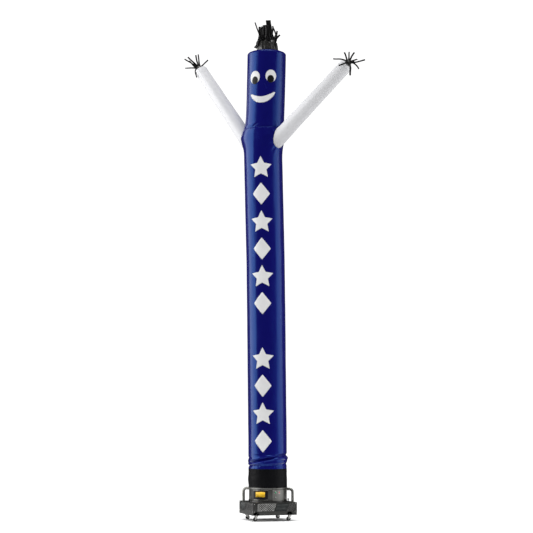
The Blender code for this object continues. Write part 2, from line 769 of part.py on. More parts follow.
def make_caster(corner, x, y, turn):
    """One swivel caster: a fixed plate and nut, and a fork that turns about Z and trails towards -X."""
    plate_top = HOUSING_BOTTOM - GAP
    plate_low = plate_top - CASTER_PLATE
    half_plate = 0.030
    as_object(
        block((x - half_plate, y - half_plate, plate_low), (x + half_plate, y + half_plate, plate_top)),
        "caster_plate_" + corner, "bright_steel",
    )
    nut = disc(NUT_RADIUS, NUT_LENGTH, 12, chamfer=0.003)
    bmesh.ops.translate(nut, verts=nut.verts, vec=(x, y, HOUSING_BOTTOM + BASE_PLATE + GAP))
    as_object(nut, "caster_nut_" + corner, "bright_steel")

    swivel = bpy.data.objects.new("swivel_" + corner, None)
    bpy.context.collection.objects.link(swivel)
    swivel.parent = ROOT
    swivel.location = (x, y, 0)
    swivel.rotation_euler.z = math.radians(turn)
    crown_top = plate_low - GAP
    cheek = 0.0075
    outline = (
        (-0.018, crown_top), (-TRAIL - cheek, AXLE_HEIGHT + 0.004), (-TRAIL - 0.6 * cheek, AXLE_HEIGHT - cheek),
        (-TRAIL + 0.6 * cheek, AXLE_HEIGHT - cheek), (-TRAIL + cheek, AXLE_HEIGHT), (0.018, crown_top - FORK_CROWN),
        (0.018, crown_top),
    )
    half_fork = FORK_WIDTH / 2
    fork = as_object(
        extruded([(across, -half_fork, height) for across, height in outline], (0, FORK_WIDTH, 0)),
        "caster_fork_" + corner, "bright_steel", swivel,
    )
    slot_half = FORK_SLOT / 2
    slot = block((-0.08, -slot_half, -0.01), (0.05, slot_half, crown_top - FORK_CROWN))
    cut(fork, as_object(slot, "fork_slot_" + corner, parent=swivel))
    lay = Matrix.Rotation(math.pi / 2, 4, "X")
    bore = disc(AXLE_RADIUS + 2 * GAP, 2 * FORK_WIDTH, 12)
    bmesh.ops.transform(
        bore, matrix=Matrix.Translation((-TRAIL, FORK_WIDTH, AXLE_HEIGHT)) @ lay, verts=bore.verts
    )
    cut(fork, as_object(bore, "fork_bore_" + corner, parent=swivel))
    axle = disc(AXLE_RADIUS, FORK_WIDTH + 0.003, 12)
    bmesh.ops.transform(
        axle, matrix=Matrix.Translation((-TRAIL, (FORK_WIDTH + 0.003) / 2, AXLE_HEIGHT)) @ lay, verts=axle.verts
    )
    as_object(axle, "caster_axle_" + corner, "bright_steel", swivel)

    roll = bpy.data.objects.new("roll_" + corner, None)
    bpy.context.collection.objects.link(roll)
    roll.parent = swivel
    roll.location = (-TRAIL, 0, AXLE_HEIGHT)
    half_tread = WHEEL_WIDTH / 2
    hub = AXLE_RADIUS + 2 * GAP
    tread = (
        (hub, -half_tread), (0.75 * WHEEL_RADIUS, -half_tread), (WHEEL_RADIUS, -0.55 * half_tread),
        (WHEEL_RADIUS, 0.55 * half_tread), (0.75 * WHEEL_RADIUS, half_tread), (hub, half_tread),
    )
    wheel = turned(tread, WHEEL_SIDES, 180 / WHEEL_SIDES)
    bmesh.ops.transform(wheel, matrix=lay, verts=wheel.verts)
    as_object(wheel, "caster_wheel_" + corner, "tyre_rubber", roll)


# ---------------------------------------------------------------- the whole model


def centre_on_origin():
    """Moves the root so that the origin is at the middle of the model's box, at its bottom."""
    bpy.context.view_layer.update()
    shown = bpy.context.evaluated_depsgraph_get()
    points = []
    for thing in bpy.data.objects:
        if thing.type == "EMPTY" or thing.hide_render:
            continue
        solid = thing.evaluated_get(shown)
        mesh = solid.to_mesh()
        points.extend(solid.matrix_world @ vert.co for vert in mesh.vertices)
        solid.to_mesh_clear()
    low = [min(point[axis] for point in points) for axis in range(3)]
    high = [max(point[axis] for point in points) for axis in range(3)]
    ROOT.location = (-(low[0] + high[0]) / 2, -(low[1] + high[1]) / 2, -low[2])


clear_scene()
ROOT = bpy.data.objects.new("air_dancer", None)
bpy.context.collection.objects.link(ROOT)

make_tube()
trim = shoulder_core()
for arm_name in ARMS:
    make_arm(arm_name, trim)
make_face()
make_hair()
for hand_name in HANDS:
    make_hand(hand_name, hand_name.replace("hand", "arm"))
make_cuff()
make_drum()
for plate_name, plate_sizes in DRUM_PLATES.items():
    make_drum_plate(plate_name, *plate_sizes)
for button_name, button_sizes in DRUM_BUTTONS.items():
    make_drum_button(button_name, *button_sizes)
for handle_name, handle_azimuth in HANDLES.items():
    make_handle(handle_name, handle_azimuth)
make_housing()
make_panels()
make_base_plate()
for knob_name, knob_azimuth in DECK_KNOBS.items():
    make_deck_knob(knob_name, knob_azimuth)
for corner_name, corner in CASTERS.items():
    make_caster(corner_name, *corner)
centre_on_origin()
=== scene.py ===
"""Inflatable air dancer on its blower: camera and light, the cloth, the blower's fittings and every finish.

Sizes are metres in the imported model's own frame. Azimuths are degrees round the drum: 0 is the blower's
front, -Y, and 90 is +X. The dancer shows its face towards SHOWN.
"""

import functools
import itertools
import math

import bmesh
import bpy
import numpy as np
from mathutils import Matrix, Vector, noise


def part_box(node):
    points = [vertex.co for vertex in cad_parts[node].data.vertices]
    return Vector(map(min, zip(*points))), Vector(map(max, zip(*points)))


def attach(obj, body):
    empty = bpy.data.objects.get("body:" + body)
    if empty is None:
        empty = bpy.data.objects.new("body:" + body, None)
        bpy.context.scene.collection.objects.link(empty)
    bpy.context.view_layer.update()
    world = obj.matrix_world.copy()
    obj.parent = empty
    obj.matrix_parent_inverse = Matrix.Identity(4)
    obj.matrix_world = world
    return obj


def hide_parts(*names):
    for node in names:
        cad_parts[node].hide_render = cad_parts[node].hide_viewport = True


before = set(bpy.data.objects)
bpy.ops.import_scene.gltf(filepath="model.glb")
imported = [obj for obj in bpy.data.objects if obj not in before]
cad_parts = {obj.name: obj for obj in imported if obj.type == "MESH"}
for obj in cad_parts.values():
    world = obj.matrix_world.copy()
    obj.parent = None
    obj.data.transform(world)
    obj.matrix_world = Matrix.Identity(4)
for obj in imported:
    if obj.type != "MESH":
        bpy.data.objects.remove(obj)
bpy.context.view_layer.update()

drum_low, drum_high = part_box("drum")
DRUM_AXIS = Vector(((drum_low[0] + drum_high[0]) / 2, (drum_low[1] + drum_high[1]) / 2, 0))
SHOWN = -18.0
LEAN = SHOWN - 90

# ---- cloth: the blue tube ----
HEM = 0.605
NECK = 4.672
HEAD_TOP = 5.592
TUBE_WALL = 0.0015
TUBE_GIRTH_RADIUS = 0.231
SHOULDER_RADIUS = 0.232
SEAT_GAP = 0.0003  # between a piece and what carries it
HEM_SEAM = 0.022  # height of the stitching above the hem
BACK_SEAM = 162.0
# height, lean of the axis towards LEAN, radius
TUBE_SECTIONS = (
    (0.605, 0.004, 0.2266),
    (0.940, 0.004, 0.2280),
    (1.650, 0.012, 0.2288),
    (2.370, 0.019, 0.2296),
    (3.090, 0.029, 0.2305),
    (3.820, 0.045, 0.2314),
    (4.060, 0.050, 0.2318),
    (4.380, 0.058, 0.2322),
    (4.770, 0.036, 0.2328),
    (4.940, 0.029, 0.2330),
    (5.240, 0.021, 0.2334),
    (5.580, 0.013, 0.2336),
)
# rise above HEAD_TOP, share of the radius
CROWN = ((0.0, 1.0), (0.012, 0.985), (0.022, 0.94), (0.034, 0.80), (0.042, 0.62), (0.046, 0.46))
# azimuth, height, rise round the tube, spread in degrees, width, depth
FOLDS = (
    (-18, 0.722, 0.045, 55, 0.011, -0.015),
    (-30, 0.692, 0.040, 60, 0.014, 0.007),
    (62, 0.712, 0.020, 45, 0.020, 0.013),
    (70, 0.752, 0.004, 40, 0.010, -0.006),
    (-110, 0.674, 0.000, 35, 0.014, 0.006),
    (-100, 0.642, 0.004, 45, 0.012, -0.014),
    (8, 0.664, 0.025, 45, 0.011, 0.010),
    (30, 0.645, 0.015, 40, 0.010, -0.008),
    (165, 0.700, -0.030, 60, 0.012, -0.011),
    (175, 0.668, -0.020, 60, 0.016, 0.007),
)
FOLD_START = 0.620
FOLD_FADE = 0.020
NECK_PINCH = 0.0035
NECK_WIDTH = 0.009
SHOULDER_SPREAD = 38.0
SHOULDER_WIDTH = 0.085
SHOULDER_HEIGHT = 4.580
# the same kind of row as FOLDS, for the sharp creases and the swells that the pull of the seams makes
CREASES = (
    (-38, 0.722, 0.045, 50, 0.007, -0.012),
    (12, 0.722, -0.020, 26, 0.008, -0.007),
    (-46, 0.694, 0.112, 16, 0.006, -0.006),
    (40, 0.768, 0.005, 42, 0.007, -0.010),
    (-75, 0.660, 0.020, 30, 0.007, -0.005),
    (150, 0.735, 0.030, 40, 0.007, -0.008),
    (-150, 0.690, -0.040, 35, 0.007, -0.008),
    (-47, 4.771, 0.148, 8, 0.006, -0.009),
    (-34, 4.6725, 0.000, 45, 0.006, -0.003),
    (95, 4.640, -0.040, 30, 0.009, -0.005),
    (-175, 4.700, 0.030, 34, 0.009, -0.006),
)
SWELLS = (
    (-30, 0.748, 0.045, 45, 0.012, 0.008),
    (-40, 0.696, 0.050, 40, 0.010, 0.005),
    (14, 0.752, -0.028, 26, 0.010, 0.007),
    (-24, 0.785, 0.000, 22, 0.010, 0.003),
    (150, 0.755, 0.030, 40, 0.012, 0.006),
    (-52, 4.708, 0.010, 16, 0.014, 0.002),
    (-66, 4.735, 0.030, 16, 0.010, 0.003),
    (-10, 4.560, 0.090, 22, 0.020, 0.003),
)
# the cloth drawn in round each arm's seam: how many gathers, how deep, how far out they reach
GATHERS = 13
GATHER_DEPTH = 0.0018
GATHER_REACH = 0.28
FLUTTER = 0.0016  # how far the skin swells and dips between its folds
HEM_PUCKERS = 30
NECK_PUCKERS = 40
CROWN_PUCKERS = 22
RIM_PUCKERS = 64

# ---- cloth: arms ----
ARM_ROOT_RADIUS = 0.094
ARM_TIP_RADIUS = 0.0795
ARM_WALL = 0.0012
ARM_SEAM = 0.012
# azimuth, height of the root, elevation, length, swell of the shoulder
ARMS = {
    "right": (30.0, 4.538, 34.9, 1.282, 0.034),
    "left": (-140.0, 4.551, 54.1, 1.186, 0.062),
}
# past the arm's length, share of the tip's radius
ARM_ENDS = ((0.0, 1.0), (0.006, 0.975), (0.012, 0.91), (0.018, 0.78), (0.023, 0.60), (0.026, 0.44))
ARM_PUCKERS = 26
ARM_TIP_PUCKERS = 18
ARM_GIRTH_RADIUS = 0.087
ARM_COLUMNS = 96
ARM_STEPS = 46
KNOT_RADIUS = 0.037
KNOT_ROWS = 14
# turn round the arm, width in degrees, depth: soft creases that run along it
ARM_CREASES = {
    "right": ((178, 15, -0.006), (232, 12, -0.003), (138, 12, -0.003), (20, 20, -0.004), (300, 18, -0.003)),
    "left": ((48, 14, -0.005), (5, 12, -0.003), (100, 18, -0.0035), (190, 15, -0.004), (290, 20, -0.003)),
}

# ---- cloth: patches on the tube ----
FACE = SHOWN - 11.0
FACE_RADIUS = 0.2333
PATCH_LIFT = 0.0012
PUPIL_LIFT = 0.0022
PATCH = 0.0008
STITCH_BAND = 0.006
# azimuth from the middle of the face, height, half width in degrees, half height
EYES = {"left": (-25.2, 5.279, 17.2, 0.079), "right": (25.2, 5.290, 16.4, 0.075)}
PUPILS = {"left": (-24.2, 5.242, 10.4, 0.048), "right": (24.3, 5.253, 10.2, 0.047)}
SMILE_HALF_WIDTH = 39.2
SMILE_HEIGHT = 5.002
SMILE_RISE = 0.079
SMILE_TILT = 0.009
SMILE_THICKNESS = 0.077
SMILE_BLUNT = 0.14
# height of the middle of each white mark on the body; stars and diamonds take turns
MARKS = (4.188, 3.863, 3.533, 3.204, 2.880, 2.554, 1.904, 1.580, 1.256, 0.930)
MARK_HALF_HEIGHT = 0.134
STAR_DROP = 0.012
STAR_GROWTH = 1.06
MARK_AZIMUTHS = (-26.0, -32.0)  # at the top mark and at the lowest

# ---- cuff, drum and its fittings ----
CUFF_BOTTOM = 0.3865
CUFF_RADIUS = 0.2264
CUFF_SWELL = 0.008
CUFF_WALL = 0.0020
CUFF_SEAMS = (0.43, 0.54)
DRUM_RADIUS = 0.2236
DRUM_TOP = 0.470
DECK = 0.218
RIM = (0.370, 0.3855, 0.0045)  # bottom, top, how far it stands out
PLATE_FACE = 0.0026  # how far the fittings on the plates stand off the drum
HANDLE_RADIUS = 0.016
HANDLE_REACH = 0.313
HANDLE_HEIGHT = 0.3685
HANDLE_BEND = 0.038
HANDLES = {"right": 50.0, "left": -130.0}
# azimuths of the ends, bottom, top
LABEL = (-66.0, -18.0, 0.254, 0.352)
PANEL = (-4.0, 37.0, 0.236, 0.364)
YELLOW = (-57.3, -26.7, 0.279, 0.339)
LABEL_TRIMS = {"upper": (0.3555, 0.3620), "lower": (0.2420, 0.2485)}
PLATE_CUTS = 24
LAMPS = {"green": 5.0, "red": 17.5}
LAMP_HEIGHT = 0.332
DIAL = (5.0, 0.272)
PANEL_SCREWS = ((-2.0, 0.358), (35.0, 0.358), (-2.0, 0.242), (35.0, 0.242))
DECK_KNOBS = {"left": -82.0, "front": 44.0, "right": 80.0}
DECK_KNOB_REACH = 0.243

# ---- blower housing ----
HOUSING_SIDE = 0.543
WINDOW = (0.120, 0.207)
WINDOW_SLANT = 0.034
SIDE_TURN = {"front": 0, "right": 90, "back": 180, "left": -90}
# side, left end, right end along the top edge, slanted left end, slanted right end
GRILLES = {
    "grille_front": ("front", -0.215, 0.020, False, True),
    "grille_front_end": ("front", 0.178, 0.252, True, False),
    "grille_left": ("left", -0.031, 0.196, True, False),
    "grille_right": ("right", -0.200, 0.200, False, False),
    "grille_back": ("back", -0.200, 0.200, False, False),
}
# the end and left grilles take a darker copy of the mesh steel: painted shade on those windows
SHADED_GRILLES = ("grille_front_end", "grille_left")
LOUVRES = {
    "louvre_front": ("front", 0.030, 0.168, True, True),
    "louvre_left": ("left", -0.215, -0.041, False, True),
}
DIAMOND = 0.019  # pitch of the expanded mesh
STRAND = 0.0028
RIB = 0.008
RIB_DEPTH = 0.0022
GRILLE_DEPTH = 0.0022
LOUVRE_DEPTH = 0.0030
WINDOW_WALL = 0.0010
SHEET_OVERLAP = 0.09  # how much wider a sheet is than its window before it is cut
SCREWS_ALONG = (-0.253, 0.253)
SCREW_HEIGHTS = (0.112, 0.205)

# ---- casters ----
CORNERS = ("front_left", "front_right", "back_left", "back_right")
WHEEL_WIDTH = 0.020
NUT_RADIUS = 0.010

# ---- hair and hands ----
STRIP = 0.0009
STRIP_STEPS = 16
STRIP_ROOT = 0.012  # how deep a strip starts inside its gathered root
HAIR_BUNCH = 0.9  # how much wider a strip is at its root
HAND_BUNCH = 0.25
HAND_LIFT = 1.1
HAIR_RADIUS = 0.126
HAIR_TOP_RADIUS = 0.124
HAIR_SHIFT = 0.009
HAIR_RISE = 0.128
HAIR_CROWN = 0.020
HAIR_PUCKER = 0.05
HAIR_PLEATS = 19
# rise, share of the radius, depth of the pleats
HAIR_RINGS = (
    (0.0, 0.10, 0.0), (0.0, 0.90, 0.0), (0.002, 0.985, 0.2), (0.10, 1.0, 0.5), (0.22, 1.01, 0.8),
    (0.35, 1.0, 1.1), (0.48, 0.985, 1.4), (0.60, 0.96, 1.5), (0.71, 0.925, 1.6), (0.81, 0.88, 1.7),
    (0.90, 0.82, 1.7), (0.98, 0.74, 1.6), (1.05, 0.63, 1.4), (1.10, 0.50, 1.1), (1.13, 0.33, 0.7),
    (1.15, 0.04, 0.0),
)
# turn from straight up as the dancer is seen, tilt to the front, length, width, end turn, end tilt
HAIR = (
    (0, 0, 0.243, 0.066, -6, 2),
    (-14, 25, 0.176, 0.062, -4, 5),
    (4, 30, 0.160, 0.050, -6, 8),
    (-34, 12, 0.226, 0.016, -17, 4),
    (-74, 25, 0.078, 0.038, -150, 20),
    (18, 15, 0.165, 0.016, 2, 5),
    (38, 5, 0.128, 0.020, 10, 0),
    (55, 20, 0.085, 0.022, 40, 10),
    (-26, -25, 0.140, 0.012, -4, -10),
    (-4, -35, 0.205, 0.036, 0, -8),
    (26, -62, 0.120, 0.026, 10, -70),
    (-36, -58, 0.135, 0.020, -10, -40),
)
# what the crumpled cloth of the hair does besides: loops and short folded ends, each with a twist at its tip
LOOSE_HAIR = (
    (6, 18, 0.300, 0.017, 168, 12, 0),
    (62, 25, 0.190, 0.018, -30, 20, 20),
    (80, 35, 0.110, 0.026, 200, 25, 40),
    (-58, 35, 0.130, 0.030, -178, 30, 40),
    (-20, 55, 0.120, 0.034, 12, 82, 30),
    (22, 60, 0.105, 0.038, -32, 78, -50),
    (-8, -12, 0.200, 0.060, 3, -4, 0),
    (3, -22, 0.190, 0.045, 0, -14, 85),
    (-3, 14, 0.170, 0.040, -2, 10, 75),
    (-25, -50, 0.150, 0.026, -8, -55, 80),
    (20, -30, 0.150, 0.030, 12, -40, -70),
    (150, -40, 0.120, 0.030, 190, -20, 50),
    (-150, -50, 0.110, 0.032, -175, -35, 60),
)
HANDS = {
    "right": (
        (-108, 20, 0.185, 0.018, -88, 10),
        (-122, 15, 0.140, 0.018, -118, 15),
        (-84, 10, 0.100, 0.018, -22, 10),
        (-66, 20, 0.098, 0.016, 6, 15),
        (12, 0, 0.106, 0.019, 29, 0),
        (100, 35, 0.060, 0.024, 85, 35),
        (152, 10, 0.168, 0.018, 77, 5),
        (128, 20, 0.135, 0.017, 143, 15),
        (198, 30, 0.185, 0.021, 184, 15),
        (60, -50, 0.110, 0.018, 70, -40),
    ),
    "left": (
        (-66, 5, 0.190, 0.019, -56, 0),
        (-44, 20, 0.175, 0.019, -52, 15),
        (-116, 15, 0.130, 0.018, -42, 10),
        (-120, 5, 0.150, 0.016, -92, 5),
        (-18, 5, 0.145, 0.019, -13, 0),
        (2, 25, 0.145, 0.017, -7, 20),
        (112, 10, 0.125, 0.018, 50, 5),
        (-176, 30, 0.165, 0.017, 160, 20),
        (-20, -45, 0.120, 0.018, -40, -40),
    ),
}


# ---- shader maths ----


class Signal:
    """A socket's output that can be added, multiplied and compared."""

    def __init__(self, finish, socket):
        self.finish = finish
        self.socket = socket

    def maths(self, operation, *others):
        return self.finish.node("Math", {"operation": operation}, self, *others)

    def __add__(self, other):
        return self.maths("ADD", other)

    __radd__ = __add__

    def __mul__(self, other):
        return self.maths("MULTIPLY", other)

    __rmul__ = __mul__

    def __sub__(self, other):
        return self.maths("SUBTRACT", other)

    def __rsub__(self, other):
        return self.finish.node("Math", {"operation": "SUBTRACT"}, other, self)

    def __truediv__(self, other):
        return self.maths("DIVIDE", other)

    def __pow__(self, other):
        return self.maths("POWER", other)

    def __gt__(self, other):
        return self.maths("GREATER_THAN", other)

    def wave(self, length):
        """1 on each line that is a wave's length apart, 0 halfway."""
        return (self * (math.tau / length)).maths("COSINE") * 0.5 + 0.5

    def near(self, place, width):
        """1 at a place, falling to 0 at a width from it."""
        return (1 - (self - place).maths("ABSOLUTE") / width).maths("MAXIMUM", 0.0)


class Finish:
    """A material while it is drawn."""

    def __init__(self, name, **constants):
        self.material = bpy.data.materials.new(name)
        self.material.use_nodes = True
        self.tree = self.material.node_tree
        self.shader = self.tree.nodes["Principled BSDF"]
        for socket, value in constants.items():
            self.shader.inputs[socket.replace("_", " ")].default_value = value

    def feed(self, socket, value):
        if isinstance(value, Signal):
            self.tree.links.new(value.socket, socket)
        elif value is not None:
            opaque = isinstance(value, tuple) and len(value) == 3 and socket.type == "RGBA"
            socket.default_value = (*value, 1) if opaque else value

    def node(self, kind, settings, *values, out=0, **named):
        made = self.tree.nodes.new("ShaderNode" + kind)
        for key, value in settings.items():
            setattr(made, key, value)
        for index, value in enumerate(values):
            self.feed(made.inputs[index], value)
        for name, value in named.items():
            self.feed(made.inputs[name.replace("_", " ")], value)
        return Signal(self, made.outputs[out])

    def place(self):
        """Object coordinates, in metres."""
        return self.node("TexCoord", {}, out=3)

    def cloth(self):
        """Metres along and up the cloth, from its own UV map."""
        woven = self.node("UVMap", {"uv_map": "cloth"})
        return self.node("SeparateXYZ", {}, woven), self.node("SeparateXYZ", {}, woven, out=1)

    def cloud(self, scale, detail=2.0, stretch=None):
        where = self.place()
        if stretch:
            where = self.node("Mapping", {}, where, Scale=stretch)
        return self.node("TexNoise", {}, where, Scale=scale, Detail=detail)

    def mix(self, share, first, second):
        skipped = [None] * 5
        return self.node("Mix", {"data_type": "RGBA"}, share, *skipped, first, second, out=2)

    def paint(self, **links):
        for name, value in links.items():
            self.feed(self.shader.inputs[name.replace("_", " ")], value)

    def bump(self, height, distance, strength):
        self.paint(Normal=self.node("Bump", {}, strength, distance, Height=height))


# ---- finishes ----

RIPSTOP = 0.006
GRIME = (0.10, 0.095, 0.085)


def nylon(name, colour, shade, gloss, roughness, seams=(), girth=None, crumple=0.5):
    """Coated ripstop nylon: its grid of yarns, fine crumples, and puckered double stitching at its seams.

    Seams are heights up the cloth; girth is the way round it to its lapped seam.
    """
    finish = Finish(name, Specular_IOR_Level=gloss[0], Specular_Tint=(*gloss[1:], 1))
    along, up = finish.cloth()
    grid = along.wave(RIPSTOP) ** 24 + up.wave(RIPSTOP) ** 24
    crumples = finish.cloud(18.0, 3.0, stretch=(1.0, 1.0, 0.5))
    patches = finish.cloud(3.5, 3.0)
    height = grid * 0.06 + crumples * crumple + finish.cloud(7.0, 2.0) * 0.8
    thread = None
    for place in seams:
        pull = up.near(place, 0.035) ** 2
        height = height + pull * along.wave(0.021) * 0.3
        rows = up.near(place - 0.004, 0.0012) + up.near(place + 0.004, 0.0012)
        dashes = rows * (along.wave(0.005) > 0.3)
        thread = dashes if thread is None else thread + dashes
    if thread is not None:
        height = height + thread * 0.5
    if girth:
        lap = along.near(0, 0.008) + along.near(girth, 0.008)
        height = height + (lap > 0.05) * 0.4 + lap * up.wave(0.024) * 0.3
    tone = finish.mix(patches * 0.55 + crumples * 0.35, shade, colour)
    tone = finish.mix((grid * 0.10).maths("MINIMUM", 1.0), tone, shade)
    finish.paint(Base_Color=tone, Roughness=roughness + (crumples - 0.5) * 0.18 + (patches - 0.5) * 0.10)
    finish.bump(height, 0.0015, 0.55)
    return finish.material


def applique(name, colour, shade):
    """Smooth cloth for the sewn marks and the face."""
    finish = Finish(name, Specular_IOR_Level=0.2)
    weave = finish.cloud(420.0, 2.0)
    broad = finish.cloud(9.0, 3.0)
    finish.paint(Base_Color=finish.mix(broad, shade, colour), Roughness=0.48 + (broad - 0.5) * 0.2)
    finish.bump(weave * 0.25 + broad * 0.9, 0.0010, 0.5)
    return finish.material


def satin_stitch(name, colour, shade):
    """The dense zigzag that holds a patch down."""
    finish = Finish(name, Specular_IOR_Level=0.3)
    threads = finish.cloud(900.0, 1.0)
    finish.paint(Base_Color=finish.mix(threads, shade, colour), Roughness=0.5 + (threads - 0.5) * 0.3)
    finish.bump(threads, 0.0006, 0.7)
    return finish.material


def powder_coat(name, colour, worn, roughness=0.42):
    """Sheet steel under a fine orange peel, with dust low down and rubbed spots."""
    finish = Finish(name, Metallic=0.25, Specular_IOR_Level=0.5)
    where = finish.place()
    peel = finish.cloud(700.0)
    broad = finish.cloud(11.0, 4.0)
    scuffs = finish.cloud(60.0, 5.0, stretch=(1.0, 1.0, 3.0))
    dust = finish.node("SeparateXYZ", {}, where, out=2).near(0.06, 0.10) * broad
    rubbed = (scuffs > 0.67) * (broad > 0.52) * 0.4
    tone = finish.mix(broad * 0.5 + 0.2, colour, tuple(0.6 * c for c in colour))
    tone = finish.mix((rubbed + dust * 0.35).maths("MINIMUM", 1.0), tone, worn)
    finish.paint(Base_Color=tone, Roughness=roughness + (broad - 0.5) * 0.22 + dust * 0.3)
    finish.bump(peel, 0.0004, 0.5)
    return finish.material


def steel(name, colour, roughness, brushed=(1.0, 1.0, 0.04)):
    """Bare or plated steel with its brushed lines and dull patches."""
    finish = Finish(name, Metallic=0.95)
    lines = finish.cloud(500.0, 2.0, stretch=brushed)
    broad = finish.cloud(14.0, 4.0)
    tone = finish.mix(broad.near(0.7, 0.25) * 0.5, colour, GRIME)
    finish.paint(Base_Color=tone, Roughness=roughness + (lines - 0.5) * 0.22 + (broad - 0.5) * 0.16)
    finish.bump(lines, 0.0003, 0.35)
    return finish.material


def moulded(name, colour, roughness=0.42, grain=900.0, gloss=0.4):
    """Moulded plastic or rubber with a fine grain."""
    finish = Finish(name, Specular_IOR_Level=gloss)
    leather = finish.cloud(grain, 3.0)
    broad = finish.cloud(25.0, 3.0)
    dark, pale = (tuple(min(gain * c, 1.0) for c in colour) for gain in (0.7, 1.3))
    finish.paint(Base_Color=finish.mix(broad, dark, pale), Roughness=roughness + (broad - 0.5) * 0.2)
    finish.bump(leather, 0.0005, 0.4)
    return finish.material


def lens(name, colour):
    """A moulded indicator lens with its ribs."""
    finish = Finish(name, Specular_IOR_Level=0.6, Coat_Weight=0.6, Emission_Strength=0.25)
    ribs = finish.cloud(1500.0, 1.0)
    finish.paint(
        Base_Color=finish.mix(ribs, colour, tuple(0.6 * c for c in colour)),
        Emission_Color=finish.mix(ribs, colour, tuple(0.5 * c for c in colour)),
        Roughness=0.22 + (ribs - 0.5) * 0.1,
    )
    finish.bump(ribs, 0.0003, 0.4)
    return finish.material


BLUE = nylon(
    "blue_nylon_cloth", (0.0055, 0.0036, 0.128), (0.0042, 0.0028, 0.100), (0.66, 0.085, 0.37, 1.0), 0.23,
    seams=(NECK, HEAD_TOP, HEM + HEM_SEAM), girth=math.tau * TUBE_GIRTH_RADIUS,
)
WHITE = nylon(
    "white_nylon_cloth", (0.72, 0.72, 0.735), (0.60, 0.605, 0.625), (0.3, 1, 1, 1), 0.46, seams=(ARM_SEAM,),
)
BLACK = nylon(
    "black_nylon_cloth", (0.0045, 0.0045, 0.0055), (0.0025, 0.0025, 0.0035), (0.08, 1, 1, 1), 0.50,
    seams=CUFF_SEAMS, crumple=0.8,
)
# the gathered roots' black cloth, its base grey and about ten times lighter than the strips': painted satin
# sheen on top of its real gloss
SHEEN_ROOT_CLOTH = nylon(
    "grey_gathered_cloth_painted_sheen", (0.050, 0.049, 0.047), (0.018, 0.0175, 0.017), (0.60, 1, 1, 1), 0.30, crumple=0.9,
)
STRIPS = nylon(
    "black_strip_cloth", (0.006, 0.0055, 0.006), (0.003, 0.003, 0.0035), (0.22, 1, 1, 1), 0.40, crumple=0.7,
)
PATCH_WHITE = applique("white_patch", (0.77, 0.77, 0.77), (0.68, 0.68, 0.69))
PATCH_BLACK = applique("black_patch", (0.008, 0.008, 0.009), (0.004, 0.004, 0.005))
STITCH_WHITE = satin_stitch("white_stitching", (0.70, 0.70, 0.70), (0.48, 0.48, 0.50))
STITCH_BLACK = satin_stitch("black_stitching", (0.012, 0.012, 0.013), (0.004, 0.004, 0.005))
COAT = powder_coat("grey_powder_coat", (0.024, 0.024, 0.0225), (0.075, 0.073, 0.068))
DRUM_COAT = powder_coat("drum_coat", (0.052, 0.051, 0.048), (0.13, 0.127, 0.117), 0.34)
# near-black behind the windows: painted shade for the unlit inside of the housing
INSIDE = powder_coat("unlit_inside", (0.010, 0.010, 0.010), (0.02, 0.02, 0.02), 0.7)
SATIN_STEEL = steel("satin_steel", (0.30, 0.30, 0.28), 0.34)
RIM_STEEL = steel("dull_rim_steel", (0.22, 0.22, 0.21), 0.42, brushed=(0.1, 0.1, 2.0))
CHROME = steel("zinc_plate", (0.60, 0.60, 0.58), 0.24, brushed=(1.0, 1.0, 1.0))
MESH_STEEL = steel("galvanised_mesh", (0.36, 0.36, 0.35), 0.40, brushed=(1.0, 1.0, 1.0))
# the same galvanised mesh at a third of its brightness: painted shade for the shaded grilles
SHADED_MESH = steel("shaded_mesh", (0.11, 0.11, 0.11), 0.46, brushed=(1.0, 1.0, 1.0))
PANEL_GREY = powder_coat("control_panel_coat", (0.17, 0.17, 0.16), (0.30, 0.30, 0.29), 0.36)
PLASTIC = moulded("black_moulding", (0.012, 0.012, 0.012))
RIBBED = moulded("ribbed_black_sheet", (0.022, 0.025, 0.025), 0.38)
LABEL_BLACK = moulded("black_label_face", (0.006, 0.0055, 0.008), 0.40, gloss=0.2)
LABEL_YELLOW = moulded("yellow_label_face", (0.78, 0.46, 0.015), 0.40)
KNOB_GREY = moulded("grey_knob", (0.16, 0.16, 0.155))
RUBBER = moulded("tyre_rubber_black", (0.014, 0.014, 0.014), 0.58, 500.0)
LENSES = {
    "green": lens("green_lamp_lens", (0.04, 0.22, 0.10)),
    "red": lens("red_lamp_lens", (0.34, 0.03, 0.04)),
}
WHITE_SEWN = (PATCH_WHITE, STITCH_WHITE)
BLACK_SEWN = (PATCH_BLACK, STITCH_BLACK)


# ---- shapes ----

UP = Vector((0, 0, 1))


def around(azimuth):
    turn = math.radians(azimuth)
    return Vector((math.sin(turn), -math.cos(turn), 0))


def above(height):
    return UP * height


def linked(name, data):
    made = bpy.data.objects.new(name, data)
    bpy.context.collection.objects.link(made)
    return made


def welded(bm):
    bmesh.ops.remove_doubles(bm, verts=bm.verts, dist=0.00001)
    bmesh.ops.recalc_face_normals(bm, faces=bm.faces)
    return bm


def rounded(bm, verts, offset, segments):
    """Rounds the corners of a flat shape."""
    bmesh.ops.bevel(
        bm, geom=verts, offset=offset, affect="VERTICES", segments=segments, profile=0.5, material=-1,
    )


def facing_from(bm, centre):
    """A sheet's faces turned away from a point behind it."""
    bmesh.ops.recalc_face_normals(bm, faces=bm.faces)
    bm.faces.ensure_lookup_table()
    face = bm.faces[0]
    face.normal_update()
    if face.normal.dot(face.calc_center_median() - centre) < 0:
        bmesh.ops.reverse_faces(bm, faces=bm.faces)
    return bm


def facing_out(bm):
    """A flat shape's faces all turned towards +Z."""
    for face in bm.faces:
        face.normal_update()
        if face.normal.z < 0:
            face.normal_flip()
    return bm


